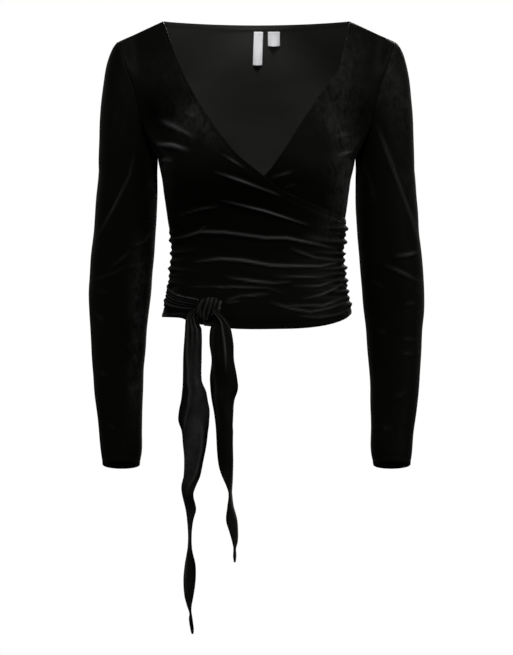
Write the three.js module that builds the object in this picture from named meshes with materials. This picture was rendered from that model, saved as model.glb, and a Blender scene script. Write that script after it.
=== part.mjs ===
// A cropped wrap top of stretch velvet with long sleeves and a tie knotted at the wearer's right hip.
// It stands hollow, as when it is worn. Units are millimetres and +Z is up. The front faces -Y and +X is
// the wearer's left. The origin lies between the shoulders, level with the middle of the shoulder seams.
import * as THREE from 'three';

// Cloth
const WALL = 1.4;
const SEAM_GAP = 0.3;
const LAP = 3;
const LABEL_WALL = 1.0;

// Levels and corners of the cut
const SHOULDER_Z = -11.5;
const SHOULDER_X = 197;
const NECK_Z = 18;
const NECK_X = 133;
const SEAM_Y = 8;
const UNDERARM_Z = -178;
const HEM_Z = -419;
const CUFF_Z = -611;
const WRAP_END_Z = -266;
const WRAP_END_DROP = 24;
const SHOULDER_ROUNDING = 90;
const ARMHOLE_DEPTH = 47;

// The torso's sections are rounded at the sides below the first level and bowed above the second
const ROUNDED_BELOW_Z = -205;
const BOWED_ABOVE_Z = -115;
const ROUNDED_POWER = 2.4;
const BOWED_POWER = 2.2;

// The torso, a row for each level: half its width, and how far its front and back stand out
const TORSO = [
  { z: 40, half: 141, front: 58, back: 60 },
  { z: 18, half: 141, front: 62, back: 66 },
  { z: -20, half: 141, front: 70, back: 76 },
  { z: -60, half: 141, front: 84, back: 87 },
  { z: -100, half: 141, front: 97, back: 95 },
  { z: -140, half: 141, front: 111, back: 98 },
  { z: -178, half: 140, front: 119, back: 97 },
  { z: -208, half: 134, front: 118, back: 93 },
  { z: -231, half: 130.6, front: 111, back: 89 },
  { z: -254, half: 127.6, front: 103, back: 85 },
  { z: -288, half: 121.8, front: 96, back: 81 },
  { z: -311, half: 119.4, front: 94, back: 81 },
  { z: -322, half: 120.4, front: 94, back: 82 },
  { z: -345, half: 122.6, front: 96, back: 86 },
  { z: -368, half: 124.8, front: 99, back: 92 },
  { z: -390, half: 131, front: 102, back: 98 },
  { z: -405, half: 135, front: 104, back: 102 },
  { z: -425, half: 136, front: 105, back: 105 },
];

// The armhole's distance from the middle, a row for each level
const ARMHOLE = [
  { z: -178, x: 140 },
  { z: -174, x: 142.6 },
  { z: -142, x: 158 },
  { z: -112, x: 166 },
  { z: -85, x: 172.6 },
  { z: -55, x: 183.5 },
  { z: -11.5, x: 197 },
];

// How far the hem rises above its lowest level, a row for each share of the torso's half breadth. The tie
// pulls it up on the wearer's right.
const HEM = [
  { share: -1, rise: 17 },
  { share: -0.78, rise: 15 },
  { share: -0.66, rise: 8 },
  { share: -0.5, rise: 5 },
  { share: -0.2, rise: 0 },
  { share: 0.3, rise: 0 },
  { share: 0.5, rise: 1.2 },
  { share: 0.67, rise: 4 },
  { share: 0.8, rise: 8 },
  { share: 0.92, rise: 14 },
  { share: 1, rise: 21 },
];

// The free edges of the two fronts, from the side seam up to the neck end of the shoulder seam.
// outer is where the wearer's right front ends, under where the wearer's left front ends.
const WRAP_EDGE = [
  { z: -266, outer: 126.4, under: -126.4 },
  { z: -251, outer: 86.7, under: -86 },
  { z: -239, outer: 57.3, under: -57 },
  { z: -227, outer: 31, under: -28 },
  { z: -215, outer: 17.2, under: 4 },
  { z: -181.7, outer: -24.2, under: 32.5 },
  { z: -146.5, outer: -53.2, under: 54.5 },
  { z: -126.4, outer: -66.5, under: 67.2 },
  { z: -95.9, outer: -85.6, under: 87.2 },
  { z: -52.2, outer: -107, under: 116.5 },
  { z: 18, outer: -133, under: 133 },
];

// The sleeve's rings, a row for each level: middle, half its width and depth, and how far it bends forward
const SLEEVE = [
  { z: -195, x: 182.3, half: 41.7, deep: 46, forward: 0 },
  { z: -223, x: 183.6, half: 43.2, deep: 47.5, forward: 0 },
  { z: -251, x: 185, half: 43.9, deep: 48, forward: 0 },
  { z: -280, x: 186.7, half: 44.2, deep: 48, forward: 0 },
  { z: -308, x: 189.4, half: 44.6, deep: 47.5, forward: 0 },
  { z: -336, x: 191.7, half: 44.7, deep: 47, forward: 0 },
  { z: -365, x: 193.8, half: 44.4, deep: 46, forward: 0 },
  { z: -393, x: 195, half: 42.7, deep: 44, forward: 1 },
  { z: -422, x: 195.4, half: 40.2, deep: 42, forward: 4 },
  { z: -450, x: 195.5, half: 38.3, deep: 40, forward: 7 },
  { z: -478, x: 195.6, half: 36.3, deep: 38, forward: 11 },
  { z: -506, x: 195.1, half: 34.6, deep: 36.5, forward: 16 },
  { z: -535, x: 193.5, half: 32.5, deep: 34, forward: 21.5 },
  { z: -563, x: 191.8, half: 30.6, deep: 32, forward: 27 },
  { z: -591, x: 190.2, half: 29, deep: 30, forward: 33 },
  { z: -611, x: 190.4, half: 26, deep: 28, forward: 37.5 },
  { z: -625, x: 191, half: 24, deep: 27, forward: 41 },
];

// How steeply the cap falls away from the shoulder, and how far off the armhole its first ring stands
const CAP_FALL = 0.75;
const CAP_SEAM = 0.78;

// The soft folds of the fronts, a row for each: its two ends and middle, its height and half its breadth
const FRONT_FOLDS = [
  { x: [-59, -15, 31], z: [-203, -217, -235], high: 3.6, wide: 6.5 },
  { x: [-49, 10, 71], z: [-242, -257, -276], high: 3.4, wide: 6.5 },
  { x: [-112, -76, -49], z: [-263, -253, -249], high: 2.6, wide: 6 },
  { x: [-113, -95, -72], z: [-293, -290, -284], high: 3, wide: 6 },
  { x: [-78, 10, 110], z: [-284, -292, -308], high: 3.6, wide: 6.5 },
  { x: [45, 81, 113], z: [-308, -320, -325], high: 2.8, wide: 6 },
  { x: [-88, 10, 118], z: [-325, -328, -322], high: 3.2, wide: 6.5 },
  { x: [-45, 0, 49], z: [-348, -354, -355], high: 2.8, wide: 6 },
  { x: [23, 80, 118], z: [-344, -348, -341], high: 2.8, wide: 6 },
  { x: [-103, -30, 42], z: [-361, -362, -370], high: 2.4, wide: 6 },
  { x: [49, 90, 121], z: [-364, -366, -356], high: 2.6, wide: 6 },
  { x: [-45, -15, 19], z: [-381, -374, -372], high: 2.2, wide: 6 },
  { x: [60, 90, 120], z: [-383, -381, -373], high: 2.6, wide: 6 },
  { x: [13, 80, 124], z: [-384, -396, -388], high: 2.6, wide: 6 },
  { x: [-136, -115, -95], z: [-134, -144, -156], high: 2.2, wide: 7 },
  { x: [-136, -117, -99], z: [-166, -170, -177], high: 3, wide: 7 },
];

// The gathers along the two side seams, a row for each run: how many, between which levels, how high
const GATHERS = [
  { side: 1, count: 9, top: -276, bottom: -384, high: 2.4, reach: 46 },
  { side: -1, count: 5, top: -292, bottom: -346, high: 2.0, reach: 34 },
];

// The long soft creases of a sleeve, a row for each, on the wearer's left sleeve seen from the front. They
// fade out where the sleeve turns to its back, between these distances before the middle.
const SLEEVE_TURNS_FROM = 8;
const SLEEVE_TURNS_TO = 28;
const SLEEVE_FOLDS = [
  { x: [170, 200, 224], z: [-160, -215, -276], high: 3, wide: 10 },
  { x: [180, 204, 224], z: [-330, -342, -350], high: 3, wide: 10 },
  { x: [192, 212, 228], z: [-310, -318, -326], high: 2.4, wide: 9 },
];

// The tie round the back and side, a row for each place by its turn about the middle in degrees, where
// 0 is the wearer's left side seam, 90 the middle of the back and 180 the wearer's right side seam. The
// cloth's own folds fade out beside it over a short breadth.
const TIE_FADE = 7;
const TIE_LIFT = 1;
const TIE_RIDGES = 3;
const TIE_WRAP = [
  { turn: 2, z: -338, tall: 24, thick: 2.4, off: 0 },
  { turn: 40, z: -342, tall: 23, thick: 2.4, off: 0 },
  { turn: 90, z: -348, tall: 21, thick: 2.6, off: 0 },
  { turn: 140, z: -358, tall: 18, thick: 2.8, off: 0 },
  { turn: 180, z: -371, tall: 15, thick: 3.2, off: 0 },
  { turn: 206, z: -381, tall: 12, thick: 3.6, off: 1.5 },
  { turn: 235.35, z: -390, tall: 9, thick: 7, off: 15 },
];

// The knot
const KNOT = { x: -65.5, z: -396, wide: 34, tall: 40, deep: 27, ridges: 5, ridge: 1.6, slant: 0.35, lean: 1.4 };
const KNOT_LIFT = 0.6;

// The hanging ends, a row for each level: middle, how much the strip is turned on edge and how much it curls
const TAIL_WALL = 2.4;
const TAIL_LONG_Y = -108;
const TAIL_SHORT_Y = -119;
const TAIL_LONG = [
  { z: -401, x: -88.6, strip: 15, turn: 10, curl: 150 },
  { z: -413, x: -89.2, strip: 25, turn: 10, curl: 190 },
  { z: -422, x: -87, strip: 38, turn: 8, curl: 206 },
  { z: -458, x: -88.5, strip: 44, turn: 0, curl: 212 },
  { z: -491, x: -88.9, strip: 44, turn: 0, curl: 206 },
  { z: -507, x: -86.3, strip: 44, turn: 0, curl: 156 },
  { z: -521, x: -86.2, strip: 44, turn: -4, curl: 120 },
  { z: -535, x: -86.5, strip: 44, turn: -10, curl: 52 },
  { z: -546, x: -87.1, strip: 44, turn: -12, curl: 42 },
  { z: -560, x: -86.7, strip: 44, turn: -18, curl: 108 },
  { z: -582, x: -87.9, strip: 44, turn: -26, curl: 136 },
  { z: -604, x: -89.4, strip: 42, turn: -35, curl: 176 },
  { z: -623, x: -91.8, strip: 40, turn: -45, curl: 178 },
  { z: -637, x: -95.7, strip: 40, turn: -63, curl: 170 },
  { z: -648, x: -96.3, strip: 38, turn: -73, curl: 130 },
  { z: -668, x: -92.5, strip: 36, turn: -68, curl: 90 },
  { z: -684, x: -92, strip: 32, turn: -78, curl: 50 },
  { z: -703, x: -91.9, strip: 30, turn: -84, curl: 30 },
  { z: -723, x: -92.5, strip: 32, turn: -80, curl: 30 },
  { z: -745, x: -92.8, strip: 34, turn: -64, curl: 50 },
  { z: -767, x: -93.8, strip: 34, turn: -60, curl: 50 },
  { z: -789, x: -94.5, strip: 32, turn: -67, curl: 45 },
  { z: -803, x: -93.2, strip: 24, turn: -76, curl: 30 },
  { z: -813, x: -91.1, strip: 14, turn: -82, curl: 20 },
  { z: -822, x: -90.5, strip: 10, turn: -62, curl: 20 },
  { z: -835, x: -88.7, strip: 8, turn: -59, curl: 20 },
  { z: -841, x: -88.2, strip: 5, turn: -59, curl: 15 },
];
const TAIL_SHORT = [
  { z: -415.2, x: -49.5, strip: 28, turn: 0, curl: 140 },
  { z: -424, x: -49.4, strip: 38, turn: 0, curl: 148 },
  { z: -441, x: -48.3, strip: 44, turn: 0, curl: 158 },
  { z: -463, x: -46.5, strip: 44, turn: 0, curl: 172 },
  { z: -488, x: -45.5, strip: 44, turn: 0, curl: 122 },
  { z: -502, x: -44.4, strip: 44, turn: 2, curl: 118 },
  { z: -518, x: -45.4, strip: 44, turn: 6, curl: 168 },
  { z: -540, x: -44, strip: 43, turn: 12, curl: 204 },
  { z: -568, x: -43.7, strip: 42, turn: 20, curl: 240 },
  { z: -595, x: -41.6, strip: 40, turn: 50, curl: 225 },
  { z: -620, x: -39.9, strip: 36, turn: 76, curl: 145 },
  { z: -639, x: -36.8, strip: 30, turn: 84, curl: 60 },
  { z: -648, x: -35.7, strip: 26, turn: 82, curl: 30 },
  { z: -664, x: -35.2, strip: 28, turn: 74, curl: 40 },
  { z: -683, x: -33.3, strip: 30, turn: 61, curl: 50 },
  { z: -700, x: -30.4, strip: 28, turn: 67, curl: 45 },
  { z: -714, x: -29.4, strip: 20, turn: 71, curl: 30 },
  { z: -723, x: -30.3, strip: 10, turn: 86, curl: 15 },
  { z: -733, x: -30.3, strip: 8, turn: 63, curl: 15 },
  { z: -741, x: -30.3, strip: 5, turn: 63, curl: 15 },
];

// The labels inside the back neck: place of the upper left corner and size. They hang just off the back.
const LABEL_LIFT = 1.1;
const LABELS = [
  { name: 'label_long', x: -3.6, drop: 8, wide: 13, tall: 47 },
  { name: 'label_small', x: 16.5, drop: 8, wide: 17.5, tall: 20.5 },
];

// How finely the pieces are divided
const NECK_STEPS = 9;
const SHOULDER_STEPS = 5;
const LOW_ROWS = { outer: 27, under: 9, back: 24 };
const SIDE_ROWS = { outer: 9, under: 6, back: 6 };
const ARMHOLE_ROWS = 11;
const CAP_RINGS = 6;
const SLEEVE_RINGS = 16;
const TIE_WRAP_STEPS = 30;

const BODY_VELVET = new THREE.MeshStandardMaterial({ color: 0x0a0a0b, roughness: 0.7, metalness: 0 });
const TIE_VELVET = new THREE.MeshStandardMaterial({ color: 0x141415, roughness: 0.75, metalness: 0 });
const LABEL_WHITE = new THREE.MeshStandardMaterial({ color: 0xf0f0ee, roughness: 0.6, metalness: 0 });

const radians = THREE.MathUtils.degToRad;
const lerp = THREE.MathUtils.lerp;
const clamp = THREE.MathUtils.clamp;
const smooth = THREE.MathUtils.smoothstep;

// Reads a column of a table at a place between its rows, on a smooth curve through them
function along(table, key, column, at) {
  const rising = table[table.length - 1][key] > table[0][key];
  const last = table.length - 1;
  let row = 0;
  while (row < last - 1 && (rising ? at > table[row + 1][key] : at < table[row + 1][key])) row += 1;
  const a = table[row];
  const b = table[row + 1];
  const before = table[Math.max(row - 1, 0)];
  const after = table[Math.min(row + 2, last)];
  const span = b[key] - a[key];
  const t = clamp((at - a[key]) / span, 0, 1);
  const slopeA = ((b[column] - before[column]) / (b[key] - before[key])) * span;
  const slopeB = ((after[column] - a[column]) / (after[key] - a[key])) * span;
  const t2 = t * t;
  const t3 = t2 * t;
  return (2 * t3 - 3 * t2 + 1) * a[column] + (t3 - 2 * t2 + t) * slopeA
    + (3 * t2 - 2 * t3) * b[column] + (t3 - t2) * slopeB;
}

function evenSteps(count, from, to) {
  return Array.from({ length: count + 1 }, (_, step) => lerp(from, to, step / count));
}

// Height of the shoulder line above a place, which falls from the neck end to the sleeve
function shoulderLine(x) {
  const fall = (NECK_Z - SHOULDER_Z) / (SHOULDER_X - NECK_X);
  return NECK_Z - (Math.abs(x) - NECK_X) * fall;
}

// How far a torso section has closed in at a share of its half width: rounded at the side below the
// underarm, and gently bowed between the armholes above it
function sectionCurve(share, z) {
  const s = Math.min(Math.abs(share), 1);
  const rounded = (1 - s ** ROUNDED_POWER) ** (1 / ROUNDED_POWER);
  const bowed = 1 - s ** BOWED_POWER;
  return lerp(rounded, bowed, smooth(z, ROUNDED_BELOW_Z, BOWED_ABOVE_Z));
}

// Half the torso's breadth at a level: to the side seam below the underarm, to the armhole above it
function spread(z) {
  if (z <= UNDERARM_Z) return along(TORSO, 'z', 'half', z);
  return along(ARMHOLE, 'z', 'x', Math.min(z, SHOULDER_Z));
}

// A point of the torso. side is -1 for the front and 1 for the back.
function torsoPoint(x, z, side) {
  const depth = along(TORSO, 'z', side < 0 ? 'front' : 'back', z);
  const line = shoulderLine(x);
  const below = clamp((line - z) / SHOULDER_ROUNDING, 0, 1);
  const rounding = Math.sqrt(1 - (1 - below) ** 2);
  const rise = clamp((z - UNDERARM_Z) / (line - UNDERARM_Z), 0, 1);
  const inset = ARMHOLE_DEPTH * Math.sqrt(1 - (2 * rise - 1) ** 2);
  const middle = SEAM_Y * smooth(z, UNDERARM_Z, SHOULDER_Z);
  const out = inset + (depth - inset) * sectionCurve(x / spread(z), z) * rounding;
  return new THREE.Vector3(x, middle + side * out, z);
}

// The same by a turn about the middle in radians. A turn of 0 is the wearer's left side seam, and a
// positive turn goes round the back.
function girthPoint(turn, z) {
  return torsoPoint(spread(z) * Math.cos(turn), z, Math.sin(turn) < 0 ? -1 : 1);
}

function girthOutward(turn, z) {
  const acrossStep = girthPoint(turn + 0.03, z).sub(girthPoint(turn - 0.03, z));
  const upStep = girthPoint(turn, z + 3).sub(girthPoint(turn, z - 3));
  return acrossStep.cross(upStep).normalize();
}

// Distance from a point of the front to a fold, and how far along the fold it lies
function nearestOnFold(fold, x, z) {
  const chordX = fold.x[2] - fold.x[0];
  const chordZ = fold.z[2] - fold.z[0];
  const share = ((x - fold.x[0]) * chordX + (z - fold.z[0]) * chordZ) / (chordX ** 2 + chordZ ** 2);
  const t = clamp(share, 0, 1);
  const bow = 4 * t * (1 - t);
  const foldX = lerp(fold.x[0], fold.x[2], t) + bow * (fold.x[1] - (fold.x[0] + fold.x[2]) / 2);
  const foldZ = lerp(fold.z[0], fold.z[2], t) + bow * (fold.z[1] - (fold.z[0] + fold.z[2]) / 2);
  return { distance: Math.hypot(x - foldX, z - foldZ), t };
}

function foldHeight(folds, x, z) {
  let height = 0;
  for (const fold of folds) {
    const { distance, t } = nearestOnFold(fold, x, z);
    const fade = Math.sqrt(Math.max(Math.sin(Math.PI * clamp(0.06 + 0.88 * t, 0, 1)), 0));
    height = Math.max(height, fold.high * fade * Math.exp(-((distance / fold.wide) ** 2)));
  }
  return height;
}

// The gathers run in from the side seams and die away across the panel
function gatherHeight(x, z, half) {
  let height = 0;
  for (const run of GATHERS) {
    const share = (z - run.top) / (run.bottom - run.top);
    const inward = half - run.side * x;
    if (share < 0 || share > 1 || inward > run.reach * 2) continue;
    const wave = 0.5 - 0.5 * Math.cos(2 * Math.PI * run.count * share);
    height = Math.max(height, run.high * wave * Math.exp(-((inward / run.reach) ** 2)));
  }
  return height;
}

// Turns a net of outer points into a closed wall. Rows run up the piece and each row runs across it.
// move gives how far each outer point is raised, seam may change the direction the wall is built in.
function wall(rows, { flip = false, ring = false, thickness = WALL, move = () => 0, seam = () => {} }) {
  const rowCount = rows.length;
  const across = rows[0].length;
  const outer = [];
  const inner = [];
  const acrossStep = new THREE.Vector3();
  const upStep = new THREE.Vector3();
  for (let j = 0; j < rowCount; j += 1) {
    for (let i = 0; i < across; i += 1) {
      const next = ring ? (i + 1) % across : Math.min(i + 1, across - 1);
      const previous = ring ? (i + across - 1) % across : Math.max(i - 1, 0);
      acrossStep.subVectors(rows[j][next], rows[j][previous]);
      upStep.subVectors(rows[Math.min(j + 1, rowCount - 1)][i], rows[Math.max(j - 1, 0)][i]);
      const normal = new THREE.Vector3().crossVectors(acrossStep, upStep);
      if (flip) normal.negate();
      seam(normal, i, j);
      normal.normalize();
      const raised = move(rows[j][i], i, j);
      outer.push(rows[j][i].clone().addScaledVector(normal, raised));
      inner.push(rows[j][i].clone().addScaledVector(normal, raised - thickness));
    }
  }
  const faces = [];
  const quad = (a, b, c, d) => faces.push(...(flip ? [a, c, b, a, d, c] : [a, b, c, a, c, d]));
  const back = outer.length;
  const at = (j, i) => j * across + (ring ? i % across : i);
  const columns = ring ? across : across - 1;
  for (let j = 0; j < rowCount - 1; j += 1) {
    for (let i = 0; i < columns; i += 1) {
      quad(at(j, i), at(j, i + 1), at(j + 1, i + 1), at(j + 1, i));
      quad(back + at(j, i + 1), back + at(j, i), back + at(j + 1, i), back + at(j + 1, i + 1));
    }
  }
  for (let i = 0; i < columns; i += 1) {
    quad(at(0, i + 1), at(0, i), back + at(0, i), back + at(0, i + 1));
    const top = rowCount - 1;
    quad(at(top, i), at(top, i + 1), back + at(top, i + 1), back + at(top, i));
  }
  if (!ring) {
    const end = across - 1;
    for (let j = 0; j < rowCount - 1; j += 1) {
      quad(at(j, 0), at(j + 1, 0), back + at(j + 1, 0), back + at(j, 0));
      quad(at(j + 1, end), at(j, end), back + at(j, end), back + at(j + 1, end));
    }
  }
  return solid([...outer, ...inner], faces);
}

function solid(points, faces) {
  const geometry = new THREE.BufferGeometry();
  geometry.setAttribute('position', new THREE.Float32BufferAttribute(points.flatMap((p) => [p.x, p.y, p.z]), 3));
  geometry.setIndex(faces);
  geometry.computeVertexNormals();
  return geometry;
}

// The levels of the armhole's points, close together where it turns at the underarm and the shoulder
function armholeLevel(step) {
  const middle = (SHOULDER_Z + UNDERARM_Z) / 2;
  const reach = (SHOULDER_Z - UNDERARM_Z) / 2;
  return middle - reach * Math.cos((Math.PI * step) / ARMHOLE_ROWS);
}

const hemLevel = (share) => HEM_Z + along(HEM, 'share', 'rise', share);

// Where the columns of a panel lie, as shares of the torso's half breadth. One stands at each neck end
// of the shoulder seams.
const NECK_TURN = Math.asin(NECK_X / SHOULDER_X);
const COLUMNS = [
  ...evenSteps(SHOULDER_STEPS, -Math.PI / 2, -NECK_TURN).slice(0, -1),
  ...evenSteps(NECK_STEPS, -NECK_TURN, NECK_TURN),
  ...evenSteps(SHOULDER_STEPS, NECK_TURN, Math.PI / 2).slice(1),
].map((turn) => Math.sin(turn));

// The level at which a column of a front meets its free edge, or else the shoulder seam
function frontTop(open, hand, share) {
  const neckShare = NECK_X / SHOULDER_X;
  if (hand * share >= neckShare - 1e-6) return shoulderLine(share * SHOULDER_X);
  let low = WRAP_END_Z;
  let high = NECK_Z;
  for (let halving = 0; halving < 40; halving += 1) {
    const z = (low + high) / 2;
    const inside = hand * (share * spread(z) - along(WRAP_EDGE, 'z', open, z)) > 0;
    if (inside) low = z;
    else high = z;
  }
  return (low + high) / 2;
}

// The net of a panel: its columns rise from the hem to the level bend, and from there to their tops,
// where the outermost column follows the side seam and the armhole
function panelRows(side, lowRows, sideRows, bendLevel, topLevel) {
  const rows = [];
  for (const v of evenSteps(lowRows, 0, 1)) {
    rows.push(COLUMNS.map((share) => lerp(hemLevel(share), bendLevel(share), v)));
  }
  const levels = evenSteps(sideRows, WRAP_END_Z, UNDERARM_Z).slice(1);
  for (let step = 1; step <= ARMHOLE_ROWS; step += 1) levels.push(armholeLevel(step));
  for (const level of levels) {
    const rise = (level - WRAP_END_Z) / (SHOULDER_Z - WRAP_END_Z);
    rows.push(COLUMNS.map((share) => lerp(bendLevel(share), topLevel(share), rise)));
  }
  return rows.map((row) => row.map((z, i) => torsoPoint(COLUMNS[i] * spread(z), z, side)));
}

// A front. open is 'outer' or 'under', and hand is the side of its armhole: -1 the wearer's right.
function frontRows(open, hand) {
  const bend = (share) => WRAP_END_Z - WRAP_END_DROP * ((1 - hand * share) / 2) ** 3;
  const top = (share) => frontTop(open, hand, share);
  return panelRows(-1, LOW_ROWS[open], SIDE_ROWS[open], bend, top);
}

function backRows() {
  const top = (share) => Math.min(NECK_Z, shoulderLine(share * SHOULDER_X));
  return panelRows(1, LOW_ROWS.back, SIDE_ROWS.back, () => WRAP_END_Z, top);
}

// Round the top of the armhole the panels and the sleeve build their walls in one direction, away from
// the armhole's middle, so that the two edges lie side by side
function armholeTurn(normal, point) {
  const middle = (SHOULDER_Z + UNDERARM_Z) / 2;
  const radial = new THREE.Vector3(0, point.y - SEAM_Y / 2, (point.z - middle) * 0.6).normalize();
  const share = smooth((point.z - middle) / (SHOULDER_Z - middle), -0.3, 0.3);
  normal.normalize().lerp(radial, share);
}

// A panel's wall at a side or shoulder seam stands square to the seam, half a gap short of it
function finishSeams(rows, side, onSeam, onArmhole) {
  rows.forEach((row, j) => row.forEach((point, i) => {
    if (onSeam(i, j)) point.y += (side * SEAM_GAP) / 2;
  }));
  return (normal, i, j) => {
    if (onArmhole(i, j)) armholeTurn(normal, rows[j][i]);
    if (onSeam(i, j)) normal.y = 0;
  };
}

const raiseOuter = (x) => (LAP / 2) * clamp(1 + x / spread(UNDERARM_Z), 0, 2);

function underStrap(x, y, z) {
  const turn = THREE.MathUtils.radToDeg(Math.atan2(y, x));
  const place = turn < -90 ? turn + 360 : turn;
  if (place < 0 || place > TIE_WRAP[TIE_WRAP.length - 1].turn) return 0;
  const away = Math.abs(z - along(TIE_WRAP, 'turn', 'z', place)) - along(TIE_WRAP, 'turn', 'tall', place);
  return 1 - smooth(away, 0, TIE_FADE);
}

function relief(point) {
  const bare = 1 - underStrap(point.x, point.y, point.z);
  return bare * gatherHeight(point.x, point.z, spread(point.z));
}

function knotClear(x, z) {
  const apart = Math.hypot((x - KNOT.x) / (KNOT.wide * 0.75), (z - KNOT.z) / (KNOT.tall * 0.75));
  return smooth(apart, 0.8, 1.3);
}

function frontSeams(rows, open, hand) {
  const own = hand < 0 ? 0 : COLUMNS.length - 1;
  const far = COLUMNS.length - 1 - own;
  const underarm = LOW_ROWS[open] + SIDE_ROWS[open];
  const top = rows.length - 1;
  const shoulder = (i) => hand * COLUMNS[i] >= NECK_X / SHOULDER_X - 1e-6;
  const onSeam = (i, j) => (i === own && j <= underarm) || i === far || (j === top && shoulder(i));
  return finishSeams(rows, -1, onSeam, (i, j) => i === own && j > underarm);
}

function frontOuter() {
  const rows = frontRows('outer', -1);
  const seam = frontSeams(rows, 'outer', -1);
  const move = (p) => {
    const folds = foldHeight(FRONT_FOLDS, p.x, p.z) * knotClear(p.x, p.z);
    const bare = 1 - underStrap(p.x, p.y, p.z);
    return raiseOuter(p.x) + Math.max(folds * bare, relief(p));
  };
  return wall(rows, { move, seam });
}

function frontUnder() {
  const rows = frontRows('under', 1);
  const seam = frontSeams(rows, 'under', 1);
  return wall(rows, { move: (p) => raiseOuter(p.x) - LAP, seam });
}

function backPanel() {
  const rows = backRows();
  const underarm = LOW_ROWS.back + SIDE_ROWS.back;
  const top = rows.length - 1;
  const side = (i) => Math.abs(COLUMNS[i]) > 1 - 1e-6;
  const shoulder = (i) => Math.abs(COLUMNS[i]) >= NECK_X / SHOULDER_X - 1e-6;
  const onSeam = (i, j) => (side(i) && j <= underarm) || (j === top && shoulder(i));
  const seam = finishSeams(rows, 1, onSeam, (i, j) => side(i) && j > underarm);
  return wall(rows, { flip: true, move: relief, seam });
}

// A sleeve. Its first ring follows the armhole, the next round the cap over to the first level ring.
function sleeve(hand) {
  const rings = [];
  const around = ARMHOLE_ROWS * 2;
  const seat = [];
  const first = SLEEVE[0];
  for (let i = 0; i < around; i += 1) {
    const front = i <= ARMHOLE_ROWS;
    const z = armholeLevel(front ? ARMHOLE_ROWS - i : i - ARMHOLE_ROWS);
    const from = torsoPoint(hand * spread(z), z, front ? -1 : 1);
    seat.push({ from, angle: (Math.PI * i) / ARMHOLE_ROWS });
  }
  const sleeveRing = (z) => {
    const cx = along(SLEEVE, 'z', 'x', z);
    const half = along(SLEEVE, 'z', 'half', z);
    const deep = along(SLEEVE, 'z', 'deep', z);
    const forward = along(SLEEVE, 'z', 'forward', z);
    const slope = (along(SLEEVE, 'z', 'forward', z - 8) - along(SLEEVE, 'z', 'forward', z + 8)) / 16;
    const tilt = Math.atan(slope);
    return seat.map(({ angle }) => {
      const offset = -deep * Math.sin(angle);
      const x = hand * (cx + half * Math.cos(angle));
      return new THREE.Vector3(x, -forward + offset * Math.cos(tilt), z - offset * Math.sin(tilt));
    });
  };
  const level = sleeveRing(first.z);
  const capRing = (t) => seat.map(({ from, angle }, i) => {
    const to = level[i];
    const down = (1 - Math.cos(angle)) / 2;
    const bendZ = lerp(from.z - CAP_FALL * Math.abs(from.x - to.x), (from.z + to.z) / 2, down);
    const bend = new THREE.Vector3(to.x, (from.y + to.y) / 2, bendZ);
    const a = from.clone().multiplyScalar((1 - t) ** 2);
    return a.addScaledVector(bend, 2 * t * (1 - t)).addScaledVector(to, t * t);
  });
  for (const t of evenSteps(CAP_RINGS, 0, 1).slice(0, -1)) rings.push(capRing(t));
  for (const z of evenSteps(SLEEVE_RINGS, first.z, CUFF_Z)) rings.push(sleeveRing(z));
  openSeam(rings[0], capRing(0.08), seat);
  const move = (p) => {
    const facing = smooth(-p.y, SLEEVE_TURNS_FROM, SLEEVE_TURNS_TO);
    return facing * foldHeight(SLEEVE_FOLDS, Math.abs(p.x), p.z);
  };
  const seam = (normal, i, j) => {
    if (j === 0) armholeTurn(normal, rings[0][i]);
  };
  return wall(rings, { ring: true, flip: hand < 0, move, seam });
}

// Moves the sleeve's first ring off the armhole by the seam's gap, square to the seam and the cloth
function openSeam(ring, ahead) {
  const count = ring.length;
  const moved = ring.map((point, i) => {
    const edge = new THREE.Vector3().subVectors(ring[(i + 1) % count], ring[(i + count - 1) % count]).normalize();
    const away = new THREE.Vector3().subVectors(ahead[i], point);
    away.addScaledVector(edge, -away.dot(edge)).normalize();
    return point.clone().addScaledVector(away, CAP_SEAM);
  });
  moved.forEach((point, i) => ring[i].copy(point));
}

// The tie's stretch round the body: a soft band with three lengthwise folds, its ends closed
function tieWrap() {
  const points = [];
  const faces = [];
  const first = TIE_WRAP[0].turn;
  const last = TIE_WRAP[TIE_WRAP.length - 1].turn;
  const turns = evenSteps(TIE_WRAP_STEPS, first, last);
  const acrossSteps = 8;
  const ringSize = (acrossSteps + 1) * 2;
  for (const turn of turns) {
    const middle = along(TIE_WRAP, 'turn', 'z', turn);
    const tall = along(TIE_WRAP, 'turn', 'tall', turn);
    const thick = along(TIE_WRAP, 'turn', 'thick', turn);
    const off = along(TIE_WRAP, 'turn', 'off', turn);
    const angle = radians(turn);
    const lift = off + TIE_LIFT + (turn > 180 ? raiseOuter(girthPoint(angle, middle).x) : 0);
    const ring = [];
    for (const v of evenSteps(acrossSteps, 1, -1)) {
      const z = middle + v * tall;
      const ridge = 0.55 + 0.45 * Math.cos(v * Math.PI * TIE_RIDGES) ** 2;
      const round = Math.sqrt(1 - 0.6 * v ** 4);
      const normal = girthOutward(angle, z);
      const point = girthPoint(angle, z).addScaledVector(normal, lift);
      ring.push({ point, normal, out: thick * ridge * round });
    }
    for (const { point, normal, out } of ring) points.push(point.clone().addScaledVector(normal, out));
    for (const { point } of ring.reverse()) points.push(point.clone());
  }
  for (let j = 0; j < turns.length - 1; j += 1) {
    for (let i = 0; i < ringSize; i += 1) {
      const next = (i + 1) % ringSize;
      const a = j * ringSize + i;
      const b = j * ringSize + next;
      faces.push(a, b, b + ringSize, a, b + ringSize, a + ringSize);
    }
  }
  const endRing = (turns.length - 1) * ringSize;
  for (let i = 0; i < acrossSteps; i += 1) {
    const mate = ringSize - 1 - i;
    faces.push(i, mate, i + 1, i + 1, mate, mate - 1);
    faces.push(endRing + i, endRing + i + 1, endRing + mate, endRing + i + 1, endRing + mate - 1, endRing + mate);
  }
  return solid(points, faces);
}

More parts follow.
